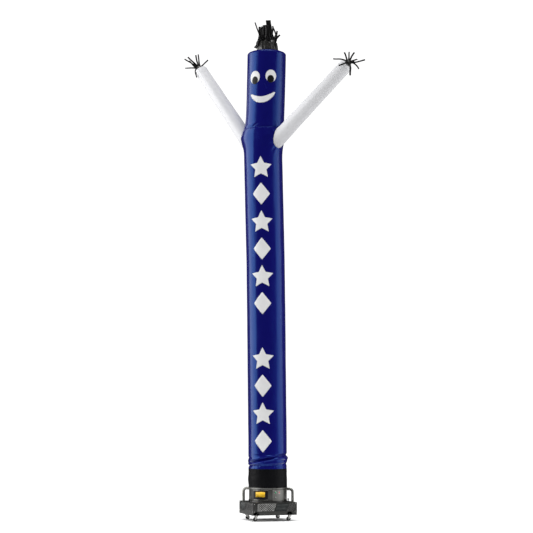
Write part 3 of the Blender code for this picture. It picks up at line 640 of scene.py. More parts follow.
def added(bm, other):
    mesh = bpy.data.meshes.new("joined")
    other.to_mesh(mesh)
    other.free()
    bm.from_mesh(mesh)
    bpy.data.meshes.remove(mesh)
    return bm


def hill(offset, width):
    return math.exp(-0.5 * (offset / width) ** 2)


def turn_between(azimuth, other):
    return (azimuth - other + 180) % 360 - 180


def between(step, values):
    """A row of values read at a step that may lie between two of them."""
    return float(np.interp(step, range(len(values)), values))


def piece(bm, name, finishes, nodes=(), body="dancer", wall=0.0, soften=0.0, smooth=35.0):
    """The finished bmesh as a piece of the object that rides on a body."""
    mesh = bpy.data.meshes.new(name)
    bm.to_mesh(mesh)
    bm.free()
    made = linked(name, mesh)
    for finish in finishes if isinstance(finishes, tuple) else (finishes,):
        mesh.materials.append(finish)
    mesh.shade_smooth()
    if smooth < 180:
        mesh.set_sharp_from_angle(angle=math.radians(smooth))
    if wall:
        cloth = made.modifiers.new("wall", "SOLIDIFY")
        cloth.thickness = abs(wall)
        cloth.offset = 1 if wall > 0 else -1
    if soften:
        edge = made.modifiers.new("soft_edges", "BEVEL")
        edge.width = soften
        edge.segments = 2
        edge.limit_method = "ANGLE"
        edge.angle_limit = math.radians(35)
        edge.harden_normals = True
    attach(made, body)
    if nodes:
        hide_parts(*nodes)
    return made


def gridded(columns, rows, place, measure=None):
    """A grid whose points are placed from across and up, both 0 to 1; measure turns its UV map to metres."""
    bm = bmesh.new()
    bmesh.ops.create_grid(bm, x_segments=columns, y_segments=rows, size=0.5)
    woven = bm.loops.layers.uv.new("cloth")
    for face in bm.faces:
        for loop in face.loops:
            across, up = loop.vert.co.x + 0.5, loop.vert.co.y + 0.5
            loop[woven].uv = measure(across, up) if measure else (across, up)
    for vert in bm.verts:
        vert.co = place(vert.co.x + 0.5, vert.co.y + 0.5)
    return bm


def rolled(columns, lengths, place, radius):
    """A grid rolled up into a tube from its back seam; lengths gives each ring's distance up the cloth."""
    rows = len(lengths) - 1
    girth = math.tau * radius
    bm = gridded(
        columns, rows, lambda across, up: place(BACK_SEAM + across * 360, round(up * rows)),
        lambda across, up: (across * girth, lengths[round(up * rows)]),
    )
    return welded(bm)


def turned(profile, sides):
    """A closed (radius, height) outline spun about Z."""
    bm = bmesh.new()
    start = around(0.0)
    verts = [bm.verts.new(start * radius + above(height)) for radius, height in profile]
    edges = [bm.edges.new(pair) for pair in zip(verts, verts[1:] + verts[:1])]
    bmesh.ops.spin(
        bm, geom=[*verts, *edges], cent=(0, 0, 0), axis=(0, 0, 1),
        angle=math.tau, steps=sides, use_merge=True, use_duplicate=False,
    )
    return welded(bm)


def moved(bm, matrix):
    bmesh.ops.transform(bm, matrix=matrix, verts=bm.verts)
    return bm


def at(point):
    return Matrix.Translation(point)


def towards(direction):
    return UP.rotation_difference(direction).to_matrix().to_4x4()


def lathed(profile, sides, place, name, finish, nodes=(), body="dancer"):
    """A turned piece, set in its place."""
    return piece(moved(turned(profile, sides), place), name, finish, nodes, body)


def refined(node, name, finish, body="dancer", soften=0.0006):
    """A CAD node's own shape, merged, with its edges softened."""
    bm = bmesh.new()
    bm.from_mesh(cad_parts[node].data)
    bmesh.ops.remove_doubles(bm, verts=bm.verts, dist=0.00002)
    bmesh.ops.dissolve_limit(bm, angle_limit=math.radians(1.0), verts=bm.verts, edges=bm.edges)
    return piece(bm, name, finish, (node,), body, soften=soften)


# ---- camera, floor and light ----

CAMERA_DISTANCE = 18.0
CAMERA_HEIGHT = 1.30
CAMERA_PITCH = 5.43
CAMERA_ASIDE = 0.0167
SENSOR = 36
FOCAL = 1505 / 533  # focal length in sensor widths
FLOOR = 1.4  # radius
# strength of the world as the camera, matt faces and glossy faces see it
BACKDROP = 1.1
FILL = 0.27
SHINE = 0.05
CEILING = 2.2
CEILING_SPREAD = 40.0
CEILING_TILT = 4.0
# azimuth, reach, height, width, length, power, the height it is turned to, whether the gloss mirrors it
LIGHTS = {
    "left_softbox": (SHOWN - 89, 4.5, 3.8, 4.5, 7.8, 370, 3.2, True),
    "right_softbox_low": (SHOWN + 84, 4.5, 1.2, 3.4, 4.0, 82, 1.2, True),
    "right_softbox_high": (SHOWN + 84, 4.5, 5.2, 3.4, 4.0, 82, 5.0, True),
    "right_wash": (SHOWN + 42, 5.0, 2.0, 2.0, 2.0, 95, 5.4, False),
    "front_fill": (SHOWN + 10, 8.0, 11.0, 5.0, 5.0, 240, 0.0, False),
}


def studio():
    seen_from = around(SHOWN)
    camera = linked("camera", bpy.data.cameras.new("camera"))
    camera.data.sensor_width = SENSOR
    camera.data.lens = SENSOR * FOCAL
    camera.data.clip_end = 200
    aside = around(SHOWN + 90) * CAMERA_ASIDE
    camera.location = DRUM_AXIS + seen_from * CAMERA_DISTANCE - aside + above(CAMERA_HEIGHT)
    camera.rotation_euler = (math.radians(90 + CAMERA_PITCH), 0, math.radians(SHOWN))
    bpy.context.scene.camera = camera
    bpy.context.scene.view_settings.view_transform = "Standard"

    ground = bmesh.new()
    bmesh.ops.create_circle(ground, cap_ends=True, segments=96, radius=FLOOR)
    bmesh.ops.translate(ground, verts=ground.verts, vec=DRUM_AXIS)
    mesh = bpy.data.meshes.new("pale_floor")
    ground.to_mesh(mesh)
    ground.free()
    floor = linked("pale_floor", mesh)
    paper = Finish("pale_paper", Roughness=0.9, Specular_IOR_Level=0.1)
    paper.paint(Base_Color=paper.mix(paper.cloud(2.0), (0.93, 0.93, 0.93), (0.95, 0.95, 0.95)))
    mesh.materials.append(paper.material)

    world = bpy.data.worlds.new("studio")
    bpy.context.scene.world = world
    world.use_nodes = True
    tree = world.node_tree
    glow = tree.nodes["Background"]
    glow.inputs["Color"].default_value = (1, 1, 1, 1)
    path = tree.nodes.new("ShaderNodeLightPath")
    strength = glow.inputs["Strength"]
    for ray, level in {"Is Camera Ray": BACKDROP, "Is Diffuse Ray": FILL, "Is Glossy Ray": SHINE}.items():
        share = tree.nodes.new("ShaderNodeMath")
        share.operation = "MULTIPLY_ADD"
        share.inputs[1].default_value = level
        share.inputs[2].default_value = 0
        tree.links.new(path.outputs[ray], share.inputs[0])
        tree.links.new(share.outputs[0], strength)
        strength = share.inputs[2]

    sun = bpy.data.lights.new("ceiling", "SUN")
    sun.energy = CEILING
    sun.angle = math.radians(CEILING_SPREAD)
    ceiling = linked("ceiling", sun)
    ceiling.location = (0, 0, 12)
    ceiling.rotation_euler = (math.radians(CEILING_TILT), 0, math.radians(SHOWN))

    for name, (azimuth, reach, height, width, length, watts, aim_height, mirrored) in LIGHTS.items():
        lamp = bpy.data.lights.new(name, "AREA")
        lamp.shape = "RECTANGLE"
        lamp.size, lamp.size_y = width, length
        lamp.energy = watts
        light = linked(name, lamp)
        place = DRUM_AXIS + around(azimuth) * reach + above(height)
        aim = DRUM_AXIS + above(aim_height)
        light.location = place
        light.rotation_mode = "QUATERNION"
        light.rotation_quaternion = (place - aim).to_track_quat("Z", "Y")
        light.visible_glossy = mirrored


studio()


# ---- the blue tube ----


@functools.cache
def section(height):
    """The tube's lean and radius at a height."""
    heights, leans, radii = zip(*TUBE_SECTIONS)
    near = [np.interp(height + step, heights, leans) for step in (-0.08, -0.04, 0.0, 0.04, 0.08)]
    return float(sum(near) / 5), float(np.interp(height, heights, radii))


def axis_point(height):
    return DRUM_AXIS + around(LEAN) * section(height)[0] + above(height)


def folds_at(azimuth, height, rows, profile=hill):
    out = 0.0
    for fold_azimuth, fold_height, rise, spread, width, depth in rows:
        if abs(height - fold_height) < abs(rise) + 4 * width:
            turn = turn_between(azimuth, fold_azimuth)
            line = fold_height + rise * math.sin(math.radians(turn_between(azimuth, SHOWN)))
            out += depth * hill(turn, spread) * profile(height - line, width)
    return out


def crease(offset, width):
    """Like a hill with a sharp top."""
    return math.exp(-abs(offset) / width)


def relief(azimuth, height):
    """How far the skin stands out from the plain round tube."""
    fade = min(max((height - FOLD_START) / FOLD_FADE, 0.0), 1.0)
    out = fade * (folds_at(azimuth, height, FOLDS) + folds_at(azimuth, height, SWELLS))
    out += fade * folds_at(azimuth, height, CREASES, crease)
    out -= NECK_PINCH * hill(height - NECK, NECK_WIDTH)
    for arm_azimuth, arm_height, elevation, _, swell in ARMS.values():
        turn = turn_between(azimuth, arm_azimuth)
        out += swell * hill(turn, SHOULDER_SPREAD) * hill(height - SHOULDER_HEIGHT, SHOULDER_WIDTH)
        across = math.radians(turn) * SHOULDER_RADIUS / ARM_ROOT_RADIUS
        up = (height - arm_height) * math.cos(math.radians(elevation)) / ARM_ROOT_RADIUS
        past_seam = math.hypot(across, up) - 1
        if -0.3 < past_seam < 4 * GATHER_REACH:
            gather = math.sin(GATHERS * math.atan2(up, across) + 2 * past_seam)
            out += GATHER_DEPTH * gather * hill(past_seam - 0.3, GATHER_REACH)
    way = around(azimuth)
    out += fade * FLUTTER * noise.noise(Vector((way.x * 2.2, way.y * 2.2, height * 1.1)))
    out += fade * 0.6 * FLUTTER * noise.noise(Vector((way.x * 6, way.y * 6, height * 4.0)))
    turn = math.radians(azimuth)
    out -= 0.0008 * hill(height - HEM - HEM_SEAM, 0.012) * (1 + math.sin(HEM_PUCKERS * turn))
    out -= 0.0005 * hill(height - NECK, 0.020) * math.sin(NECK_PUCKERS * turn)
    return out


def skin_point(azimuth, height, stand_off=0.0, share=1.0):
    radius = section(height)[1] + relief(azimuth, height) + stand_off
    return axis_point(height) + around(azimuth) * radius * share


def spaced(*stretches):
    """Heights from (start, stop, count) stretches that follow one another."""
    heights = [stretches[0][0]]
    for start, stop, count in stretches:
        heights += [start + (stop - start) * step / count for step in range(1, count + 1)]
    return heights


def make_tube():
    shaft = spaced(
        (HEM, 0.80, 78), (0.80, 4.28, 70), (4.28, 4.60, 38), (4.60, 4.76, 50), (4.76, HEAD_TOP - 0.012, 30),
    )
    crown = spaced((0.0, 5.0, 20))
    rises, shares = zip(*CROWN)
    lengths = shaft + [HEAD_TOP + 0.03 * step for step in crown]

    def place(azimuth, row):
        if row < len(shaft):
            return skin_point(azimuth, shaft[row])
        step = crown[row - len(shaft)]
        turn = math.radians(azimuth)
        gather = 1 - 0.006 * math.sin(turn * RIM_PUCKERS) * hill(step - 0.7, 0.7)
        rise = between(step, rises) - 0.0015 * math.sin(turn * CROWN_PUCKERS) * hill(step - 4, 1.2)
        return skin_point(azimuth, HEAD_TOP, share=between(step, shares) * gather) + above(rise)

    skin = rolled(160, lengths, place, TUBE_GIRTH_RADIUS)
    return piece(skin, "blue_tube", BLUE, ("body_tube",), wall=-TUBE_WALL, smooth=180)


# ---- arms ----


def arm_frame(side):
    """The arm's root, its direction with two directions square to it, and its length."""
    azimuth, height, elevation, length, _ = ARMS[side]
    slope = math.radians(elevation)
    along = around(azimuth) * math.cos(slope) + above(math.sin(slope))
    across = around(azimuth + 90)
    root = axis_point(height) + around(azimuth) * section(height)[1]
    return root, along, across, across.cross(along), length


def arm_ring(side, turn, distance, radius):
    root, along, across, up, _ = arm_frame(side)
    return root + along * distance + (across * math.cos(turn) + up * math.sin(turn)) * radius


def seam_distance(side, turn):
    """How far along the arm its cloth leaves the tube's skin."""
    low, high = -0.25, 0.25
    for _ in range(24):
        middle = (low + high) / 2
        point = arm_ring(side, turn, middle, ARM_ROOT_RADIUS)
        beside = point - axis_point(point.z)
        azimuth = math.degrees(math.atan2(beside.x, -beside.y))
        beside.z = 0
        if beside.length > section(point.z)[1] + relief(azimuth, point.z) + 0.0004:
            high = middle
        else:
            low = middle
    return high


def make_arm(side):
    length = arm_frame(side)[4]
    shares = [(step / ARM_STEPS) ** 1.35 for step in range(ARM_STEPS + 1)]
    turns = [math.radians(BACK_SEAM + 360 * column / ARM_COLUMNS) for column in range(ARM_COLUMNS)]
    seams = [seam_distance(side, turn) for turn in turns]
    ends = spaced((0.0, 5.0, 12))[1:]
    pasts, closings = zip(*ARM_ENDS)

    def place(azimuth, row):
        turn = math.radians(azimuth)
        if row >= len(shares):
            step = ends[row - len(shares)]
            pucker = 1 - 0.05 * math.sin(ARM_TIP_PUCKERS * turn) * step / 5
            radius = ARM_TIP_RADIUS * between(step, closings) * pucker
            return arm_ring(side, turn, length + between(step, pasts), radius)
        share = shares[row]
        seam = seams[round((azimuth - BACK_SEAM) / 360 * ARM_COLUMNS) % ARM_COLUMNS]
        distance = seam + (length - seam) * share
        past_root = distance - seam
        if past_root < 0.0001:
            return arm_ring(side, turn, distance, ARM_ROOT_RADIUS)
        radius = ARM_ROOT_RADIUS + (ARM_TIP_RADIUS - ARM_ROOT_RADIUS) * max(distance, 0) / length
        middle = math.sin(math.pi * min(share * 1.05, 1.0))
        for crease_turn, width, depth in ARM_CREASES[side]:
            wander = 14 * math.sin(4 * share)
            radius += depth * middle * hill(turn_between(azimuth, crease_turn + wander), width)
        radius -= 0.0016 * math.sin(ARM_PUCKERS * turn) * hill(past_root - ARM_SEAM, 0.018)
        radius -= 0.0014 * math.sin(ARM_TIP_PUCKERS * turn) * hill(length - distance, 0.05)
        radius += 0.0016 * noise.noise(Vector((math.cos(turn) * 1.6, math.sin(turn) * 1.6, distance * 7)))
        return arm_ring(side, turn, distance, radius)

    lengths = [length * share for share in shares] + [length + 0.012 * step for step in ends]
    skin = rolled(ARM_COLUMNS, lengths, place, ARM_GIRTH_RADIUS)
    node = f"arm_{side}"
    return piece(skin, f"white_{node}", WHITE, (node,), wall=-ARM_WALL, smooth=180)


# ---- patches ----


def sewn(bm, name, azimuth, height, finishes=WHITE_SEWN, lift=PATCH_LIFT, nodes=()):
    """Wraps a flat shape, in metres right and up, round the tube's skin and stitches its edge down."""
    rim = bmesh.ops.inset_region(
        bm, faces=bm.faces[:], thickness=STITCH_BAND, depth=-0.0004, use_even_offset=True, use_boundary=True,
    )
    for face in rim["faces"]:
        face.material_index = 1
    radius = section(height)[1]
    for vert in bm.verts:
        level = height + vert.co.y
        vert.co = skin_point(azimuth + math.degrees(vert.co.x / radius), level, lift + abs(vert.co.z))
    return piece(facing_from(bm, axis_point(height)), name, finishes, nodes, wall=-PATCH, smooth=180)


def fan(sides, radii, turn=0.0, stretch=(1.0, 1.0), round_off=0.0, cuts=7):
    """A flat polygon whose corners take the radii in turn, rounded off and cut up finely."""
    bm = bmesh.new()
    rim = bmesh.ops.create_circle(bm, cap_ends=True, segments=sides, radius=1)["verts"]
    rim.sort(key=lambda vert: math.atan2(vert.co.y, vert.co.x))
    for number, vert in enumerate(rim):
        angle = math.tau * number / sides + turn
        corner = Vector((math.cos(angle) * stretch[0], math.sin(angle) * stretch[1], 0))
        vert.co = corner * radii[number % len(radii)]
    if round_off:
        rounded(bm, rim, round_off, 3)
    bmesh.ops.poke(bm, faces=bm.faces)
    bmesh.ops.subdivide_edges(bm, edges=bm.edges, cuts=cuts, use_grid_fill=True)
    return bm


def star(size):
    return fan(10, (size, 0.50 * size), math.pi / 2, round_off=0.006)


def diamond(size):
    return fan(4, (size,), math.pi / 2, (0.80, 1.0), round_off=0.010, cuts=15)


def oval(half_width, half_height):
    return fan(48, (1.0,), 0.0, (half_width, half_height), cuts=5)


def smile():
    def place(across, up):
        across = -math.cos(math.pi * across)
        half = 0.5 * SMILE_THICKNESS * math.sqrt(max(1 - abs(across) ** 3, SMILE_BLUNT ** 2))
        middle = SMILE_RISE * across * across + SMILE_TILT * across
        right = across * math.radians(SMILE_HALF_WIDTH) * FACE_RADIUS
        return Vector((right, middle + half * (2 * up - 1), 0))

    return gridded(48, 10, place)


def make_face():
    made = []
    for colour, kind, sides, finishes, lift in (
        ("white", "eye", EYES, WHITE_SEWN, PATCH_LIFT), ("black", "pupil", PUPILS, BLACK_SEWN, PUPIL_LIFT),
    ):
        for side, (azimuth, height, half_width, half_height) in sides.items():
            node = f"{kind}_{side}"
            shape = oval(math.radians(half_width) * FACE_RADIUS, half_height)
            made.append(sewn(
                shape, f"{colour}_{node}", FACE + azimuth, height, finishes, lift, (node,),
            ))
    made.append(sewn(smile(), "white_smile", FACE, SMILE_HEIGHT, nodes=("smile",)))
    return made


def make_marks():
    made = []
    for number, height in enumerate(MARKS):
        share = (MARKS[0] - height) / (MARKS[0] - MARKS[-1])
        azimuth = MARK_AZIMUTHS[0] + (MARK_AZIMUTHS[1] - MARK_AZIMUTHS[0]) * share
        if number % 2:
            shape = diamond(MARK_HALF_HEIGHT)
        else:
            shape = moved(star(MARK_HALF_HEIGHT * STAR_GROWTH), at((0, -STAR_DROP, 0)))
        made.append(sewn(shape, f"white_mark_{number + 1}", azimuth, height))
    return made


# ---- hair and hands ----


def dancer_direction(turn, tilt):
    """A direction from its turn from straight up, clockwise as the dancer is seen, and its tilt forward."""
    turn, tilt = math.radians(turn), math.radians(tilt)
    flat = above(math.cos(turn)) + around(SHOWN + 90) * math.sin(turn)
    return flat * math.cos(tilt) + around(SHOWN) * math.sin(tilt)


def strip_starts(root, centre, strips, lift=Vector()):
    """Where each strip leaves its root: the free face nearest its own direction, the right one of two."""
    free = list(root.faces)
    for turn, tilt, length, width, end_turn, end_tilt, *twist in strips:
        begin = (dancer_direction(turn, tilt) + lift).normalized()
        aim = begin + around(SHOWN + 90) * 0.01
        face = max(free, key=lambda f: (f.calc_center_median() - centre).normalized().dot(aim))
        free.remove(face)
        yield face.calc_center_median(), begin, dancer_direction(end_turn, end_tilt), length, width, *twist
    root.free()


def cube_root(cuts):
    bm = bmesh.new()
    bmesh.ops.create_cube(bm, size=2)
    bmesh.ops.subdivide_edges(bm, edges=bm.edges, cuts=cuts, use_grid_fill=True)
    return bm


def add_strip(bm, number, bunched, point, begin, end, length, width, twist=0):
    """One crinkled strip of cloth, bunched at its root and cut square at its end, as part of a tuft."""
    path, ways = [point - begin * STRIP_ROOT], [begin]
    for step in range(1, STRIP_STEPS + 1):
        along = begin.slerp(end, min(math.sqrt(step / STRIP_STEPS) * 1.15, 1.0))
        path.append(path[-1] + along * (length + STRIP_ROOT) / STRIP_STEPS)
        ways.append(along)
    woven = bm.loops.layers.uv.verify()
    verts = bmesh.ops.create_grid(bm, x_segments=4, y_segments=STRIP_STEPS, size=0.5)["verts"]
    for face in {face for vert in verts for face in vert.link_faces}:
        for loop in face.loops:
            loop[woven].uv = ((loop.vert.co.x + number) * width, loop.vert.co.y * length)
    for vert in verts:
        step = round((vert.co.y + 0.5) * STRIP_STEPS)
        across, share = vert.co.x, step / STRIP_STEPS
        way = ways[step]
        side = way.cross(around(SHOWN))
        side = (side if side.length > 0.3 else way.cross(UP)).normalized()
        flat = way.cross(side).normalized()
        wring = (math.radians(twist) + 0.5 * math.sin(2.3 * share + 1.7 * number)) * share
        roll = Matrix.Rotation(wring, 3, way)
        side, flat = roll @ side, roll @ flat
        crinkle = 0.0022 * math.sin(9 * share + number) * share + 0.10 * width * (across * across * 4 - 0.5)
        bunch = 1 + bunched * hill(share, 0.16)
        sway = 0.0035 * math.sin(5 * share + 2.1 * number) * share
        vert.co = path[step] + side * (across * width * bunch + sway) + flat * crinkle


def make_tuft(name, root, starts, bunched, node):
    """Adds the strips to their gathered root."""
    # the root's faces take the grey cloth with the painted sheen
    for face in root.faces:
        face.material_index = 1
    for number, start in enumerate(starts):
        add_strip(root, number, bunched, *start)
    return piece(root, name, (STRIPS, SHEEN_ROOT_CLOTH), (node,), wall=STRIP, smooth=60)


def sleeve_radius(rise):
    return HAIR_RADIUS + (HAIR_TOP_RADIUS - HAIR_RADIUS) * rise * rise


def sleeve_lobes(level, rise):
    return HAIR_PUCKER * rise * math.sin(5 * math.atan2(level.y, level.x) + 1)


def make_hair():
    """A gathered sleeve that sits on the vent's edge, and the strips that stand up out of it."""
    foot = axis_point(HEAD_TOP) + around(SHOWN + 90) * HAIR_SHIFT
    foot.z += CROWN[-1][0] + SEAT_GAP
    root = cube_root(3)
    for vert in root.verts:
        rise = 0.5 + 0.5 * vert.co.z
        share = max(abs(vert.co.x), abs(vert.co.y))
        level = Vector((vert.co.x, vert.co.y, 0)).normalized() * share
        height = HAIR_RISE * rise + HAIR_CROWN * rise * (1 - share * share)
        vert.co = foot + level * sleeve_radius(rise) * (1 + sleeve_lobes(level, rise)) + above(height)
    starts = list(strip_starts(root, foot + above(HAIR_RISE / 2), HAIR + LOOSE_HAIR))

    def place(azimuth, row):
        rise, share, pleat = HAIR_RINGS[row]
        turn = math.radians(azimuth)
        level = around(azimuth)
        pleats = 0.026 * pleat * math.sin(HAIR_PLEATS * turn + 1.5 * math.sin(3 * turn) + 1.6 * rise)
        pleats += 0.07 * pleat * noise.noise(Vector((level.x * 2.4, level.y * 2.4, rise * 2.6)))
        radius = sleeve_radius(rise) * share * (1 + sleeve_lobes(level, rise) + pleats)
        return foot + level * radius + above(HAIR_RISE * rise)

    lengths = [0.13 * rise + 0.1 * (1 - share) for rise, share, _ in HAIR_RINGS]
    return make_tuft("black_hair", rolled(152, lengths, place, HAIR_RADIUS), starts, HAIR_BUNCH, "hair")


def make_hand(side):
    """The arm's tied end, and the strips that hang from it."""
    root, along, _, _, length = arm_frame(side)
    past, share = ARM_ENDS[-1]
    rim = ARM_TIP_RADIUS * share * math.cos(math.pi / 20)
    centre = root + along * (length + past + math.sqrt((KNOT_RADIUS + 0.0006) ** 2 - rim ** 2))
    turn = UP.rotation_difference(along)
    knot = cube_root(2)
    for vert in knot.verts:
        vert.co = centre + turn @ (vert.co.normalized() * KNOT_RADIUS)
    starts = list(strip_starts(knot, centre, HANDS[side], along * HAND_LIFT))

    def place(azimuth, row):
        tilt = math.radians(2 + 176 * row / KNOT_ROWS)
        pleat = 1 - 0.07 * math.sin(tilt) * (1 + math.sin(11 * math.radians(azimuth) + row * 0.3)) / 2
        level = around(azimuth) * math.sin(tilt) * KNOT_RADIUS * pleat
        return centre + turn @ (level + above(-math.cos(tilt) * KNOT_RADIUS * 0.98))

    ball = rolled(66, [0.008 * row for row in range(KNOT_ROWS + 1)], place, KNOT_RADIUS)
    return make_tuft(f"black_hand_{side}", ball, starts, HAND_BUNCH, f"hand_{side}")


# ---- cuff ----


def make_cuff():
    """The black sleeve, sewn to the tube and drawn down over the drum."""
    top = HEM - SEAT_GAP
    heights = spaced((CUFF_BOTTOM, 0.400, 6), (0.400, top, 40))

    def place(azimuth, row):
        height = heights[row]
        turn = math.radians(azimuth)
        swell = CUFF_SWELL * hill(turn_between(azimuth, LEAN), 40) * hill(height - 0.47, 0.035)
        swell += 0.0012 * math.sin(31 * turn) * hill(height - top, 0.030)
        billow = 0.5 + noise.noise(Vector((math.cos(turn) * 2.2, math.sin(turn) * 2.2, height * 26)))
        swell += 0.0022 * billow * hill(height - 0.50, 0.06)
        swell += 0.0016 * hill(height - 0.392, 0.006)
        lean = around(LEAN) * section(height)[0] * max(height - 0.45, 0) / (top - 0.45)
        return DRUM_AXIS + lean + around(azimuth) * (CUFF_RADIUS + swell) + above(height)

    skin = rolled(144, heights, place, CUFF_RADIUS)
    return piece(skin, "black_cuff", BLACK, ("cuff",), wall=-CUFF_WALL, smooth=180)


# ---- drum and its fittings ----


def on_drum(azimuth, height, stand_off=0.0):
    return DRUM_AXIS + around(azimuth) * (DRUM_RADIUS + stand_off) + above(height)


def on_plate(azimuth, height):
    """Takes a fitting's own Z straight out of the drum's plates."""
    return at(on_drum(azimuth, height, PLATE_FACE)) @ towards(around(azimuth))


def drum_plate(name, box, stand_off, thickness, finish, nodes=(), corner=0.004, soften=0.0006):
    """A plate bent round the drum, its corners rounded."""
    start, stop, bottom, top = box
    width = math.radians(stop - start) * DRUM_RADIUS
    bm = bmesh.new()
    size = Matrix.Diagonal((width, top - bottom, 1, 1))
    bmesh.ops.create_grid(bm, x_segments=1, y_segments=1, size=0.5, matrix=size)
    rounded(bm, bm.verts[:], corner, 4)
    for step in range(1, PLATE_CUTS):
        cut = (width * (step / PLATE_CUTS - 0.5), 0, 0)
        bmesh.ops.bisect_plane(bm, geom=[*bm.verts, *bm.edges, *bm.faces], plane_co=cut, plane_no=(1, 0, 0))
    for vert in bm.verts:
        azimuth = (start + stop) / 2 + math.degrees(vert.co.x / DRUM_RADIUS)
        vert.co = on_drum(azimuth, (bottom + top) / 2 + vert.co.y, stand_off)
    facing_from(bm, DRUM_AXIS + above(bottom))
    return piece(bm, name, finish, nodes, wall=thickness, soften=soften)


def screw_profile(radius):
    outline = ((0, 0), (1, 0), (1, 0.25), (0.75, 0.5), (0.2, 0.58), (0, 0.58))
    return [(across * radius, up * radius) for across, up in outline]


def make_drum():
    inner = DRUM_RADIUS - 0.003
    foot = DECK + SEAT_GAP
    wall = (
        (inner, foot), (DRUM_RADIUS, foot), (DRUM_RADIUS, 0.2300), (DRUM_RADIUS - 0.0006, 0.2312),
        (DRUM_RADIUS, 0.2324), (DRUM_RADIUS, 0.3655), (DRUM_RADIUS, DRUM_TOP), (inner, DRUM_TOP),
    )
    lathed(wall, 128, at(DRUM_AXIS), "grey_drum", DRUM_COAT, ("drum",))
    low, high, out = RIM
    seat = DRUM_RADIUS + SEAT_GAP
    bead = [(seat, low)]
    for step in range(11):
        turn = math.pi * step / 10
        rise = low + (high - low) * (0.5 - 0.5 * math.cos(turn))
        bead.append((seat + 0.001 + (out - 0.001) * math.sin(turn), rise))
    bead.append((seat, high))
    lathed(bead, 128, at(DRUM_AXIS), "rolled_rim", RIM_STEEL, ("drum_rim",))


def make_handle(side, azimuth):
    """A bent tube from the drum's rim out over the deck and down onto it, with its flange."""
    way = around(azimuth)
    points = [way * (DRUM_RADIUS + 0.0048) + above(HANDLE_HEIGHT)]
    for step in range(17):
        turn = math.radians(90 * step / 16)
        reach = HANDLE_REACH - HANDLE_BEND + HANDLE_BEND * math.sin(turn)
        points.append(way * reach + above(HANDLE_HEIGHT - HANDLE_BEND + HANDLE_BEND * math.cos(turn)))
    points.append(way * HANDLE_REACH + above(DECK + SEAT_GAP))
    curve = bpy.data.curves.new("handle_line", "CURVE")
    curve.dimensions = "3D"
    curve.bevel_depth = HANDLE_RADIUS
    curve.bevel_resolution = 8
    curve.use_fill_caps = True
    line = curve.splines.new("POLY")
    line.points.add(len(points) - 1)
    for place, point in zip(line.points, points):
        place.co = (*(point + DRUM_AXIS), 1)
    carrier = linked("handle_line", curve)
    bm = bmesh.new()
    bm.from_mesh(carrier.to_mesh())
    carrier.to_mesh_clear()
    bpy.data.objects.remove(carrier)
    flange = turned(((0.0, 0.0), (0.022, 0.0), (0.022, 0.002), (0.0205, 0.003), (0.0, 0.003)), 40)
    moved(flange, at(DRUM_AXIS + way * HANDLE_REACH + above(DECK + 0.0004)))
    piece(added(welded(bm), flange), f"steel_handle_{side}", SATIN_STEEL, (f"handle_{side}",))


def make_labels():
    drum_plate("black_label", LABEL, SEAT_GAP, 0.002, LABEL_BLACK, ("label_plate",))
    drum_plate("yellow_block", YELLOW, 0.0024, 0.0004, LABEL_YELLOW, soften=0.0, corner=0.006)
    start, stop = LABEL[0] - 1, LABEL[1] + 1
    for name, heights in LABEL_TRIMS.items():
        drum_plate(f"label_trim_{name}", (start, stop, *heights), SEAT_GAP, 0.0022, SATIN_STEEL, corner=0.002)


def make_controls():
    drum_plate("grey_control_panel", PANEL, SEAT_GAP, 0.002, PANEL_GREY, ("control_panel",))
    for number, (azimuth, height) in enumerate(PANEL_SCREWS):
        lathed(screw_profile(0.0032), 32, on_plate(azimuth, height), f"panel_screw_{number + 1}", CHROME)
    ring = (
        (0.0085, 0.0), (0.0135, 0.0), (0.0135, 0.0022), (0.0120, 0.0034), (0.0095, 0.0034), (0.0085, 0.0022),
    )
    dome = [(0.0, 0.0), (0.0105, 0.0)]
    for turn in map(math.radians, range(0, 90, 15)):
        dome.append((0.0105 * math.cos(turn), 0.0028 + 0.0052 * math.sin(turn)))
    dome.append((0.0, 0.008))
    for side, azimuth in LAMPS.items():
        place = on_plate(azimuth, LAMP_HEIGHT)
        lathed(ring, 32, place, f"lamp_ring_{side}", CHROME)
        lathed(dome, 32, place, f"glass_{side}", LENSES[side], (f"lamp_{side}",))
    skirt = (
        (0.0, 0.0), (0.0130, 0.0), (0.0130, 0.003), (0.0112, 0.005), (0.0104, 0.0125), (0.0094, 0.014),
        (0.0, 0.014),
    )
    dial = turned(skirt, 48)
    for vert in dial.verts:
        if vert.co.z > 0.0045:
            flute = 1 - 0.05 * (1 + math.cos(12 * math.atan2(vert.co.y, vert.co.x)))
            vert.co.x, vert.co.y = vert.co.x * flute, vert.co.y * flute
    piece(moved(dial, on_plate(*DIAL)), "fluted_dial", KNOB_GREY, ("dial_knob",))
    pointer = bmesh.new()
    size = Matrix.Diagonal((0.0014, 0.0075, 0.0010, 1))
    bmesh.ops.create_cube(pointer, size=1, matrix=at((0, 0.0045, 0.0144)) @ size)
    piece(moved(pointer, on_plate(*DIAL)), "dial_pointer", PATCH_WHITE)


def make_deck_knobs():
    grip = (
        (0.0, 0.0), (0.0090, 0.0), (0.0090, 0.003), (0.0050, 0.006), (0.0050, 0.014), (0.0082, 0.018),
        (0.0090, 0.022), (0.0090, 0.029), (0.0080, 0.0325), (0.0, 0.034),
    )
    for side, azimuth in DECK_KNOBS.items():
        place = at(DRUM_AXIS + around(azimuth) * DECK_KNOB_REACH + above(DECK + SEAT_GAP))
        lathed(grip, 36, place, f"black_deck_knob_{side}", PLASTIC, (f"deck_knob_{side}",))


# ---- housing ----


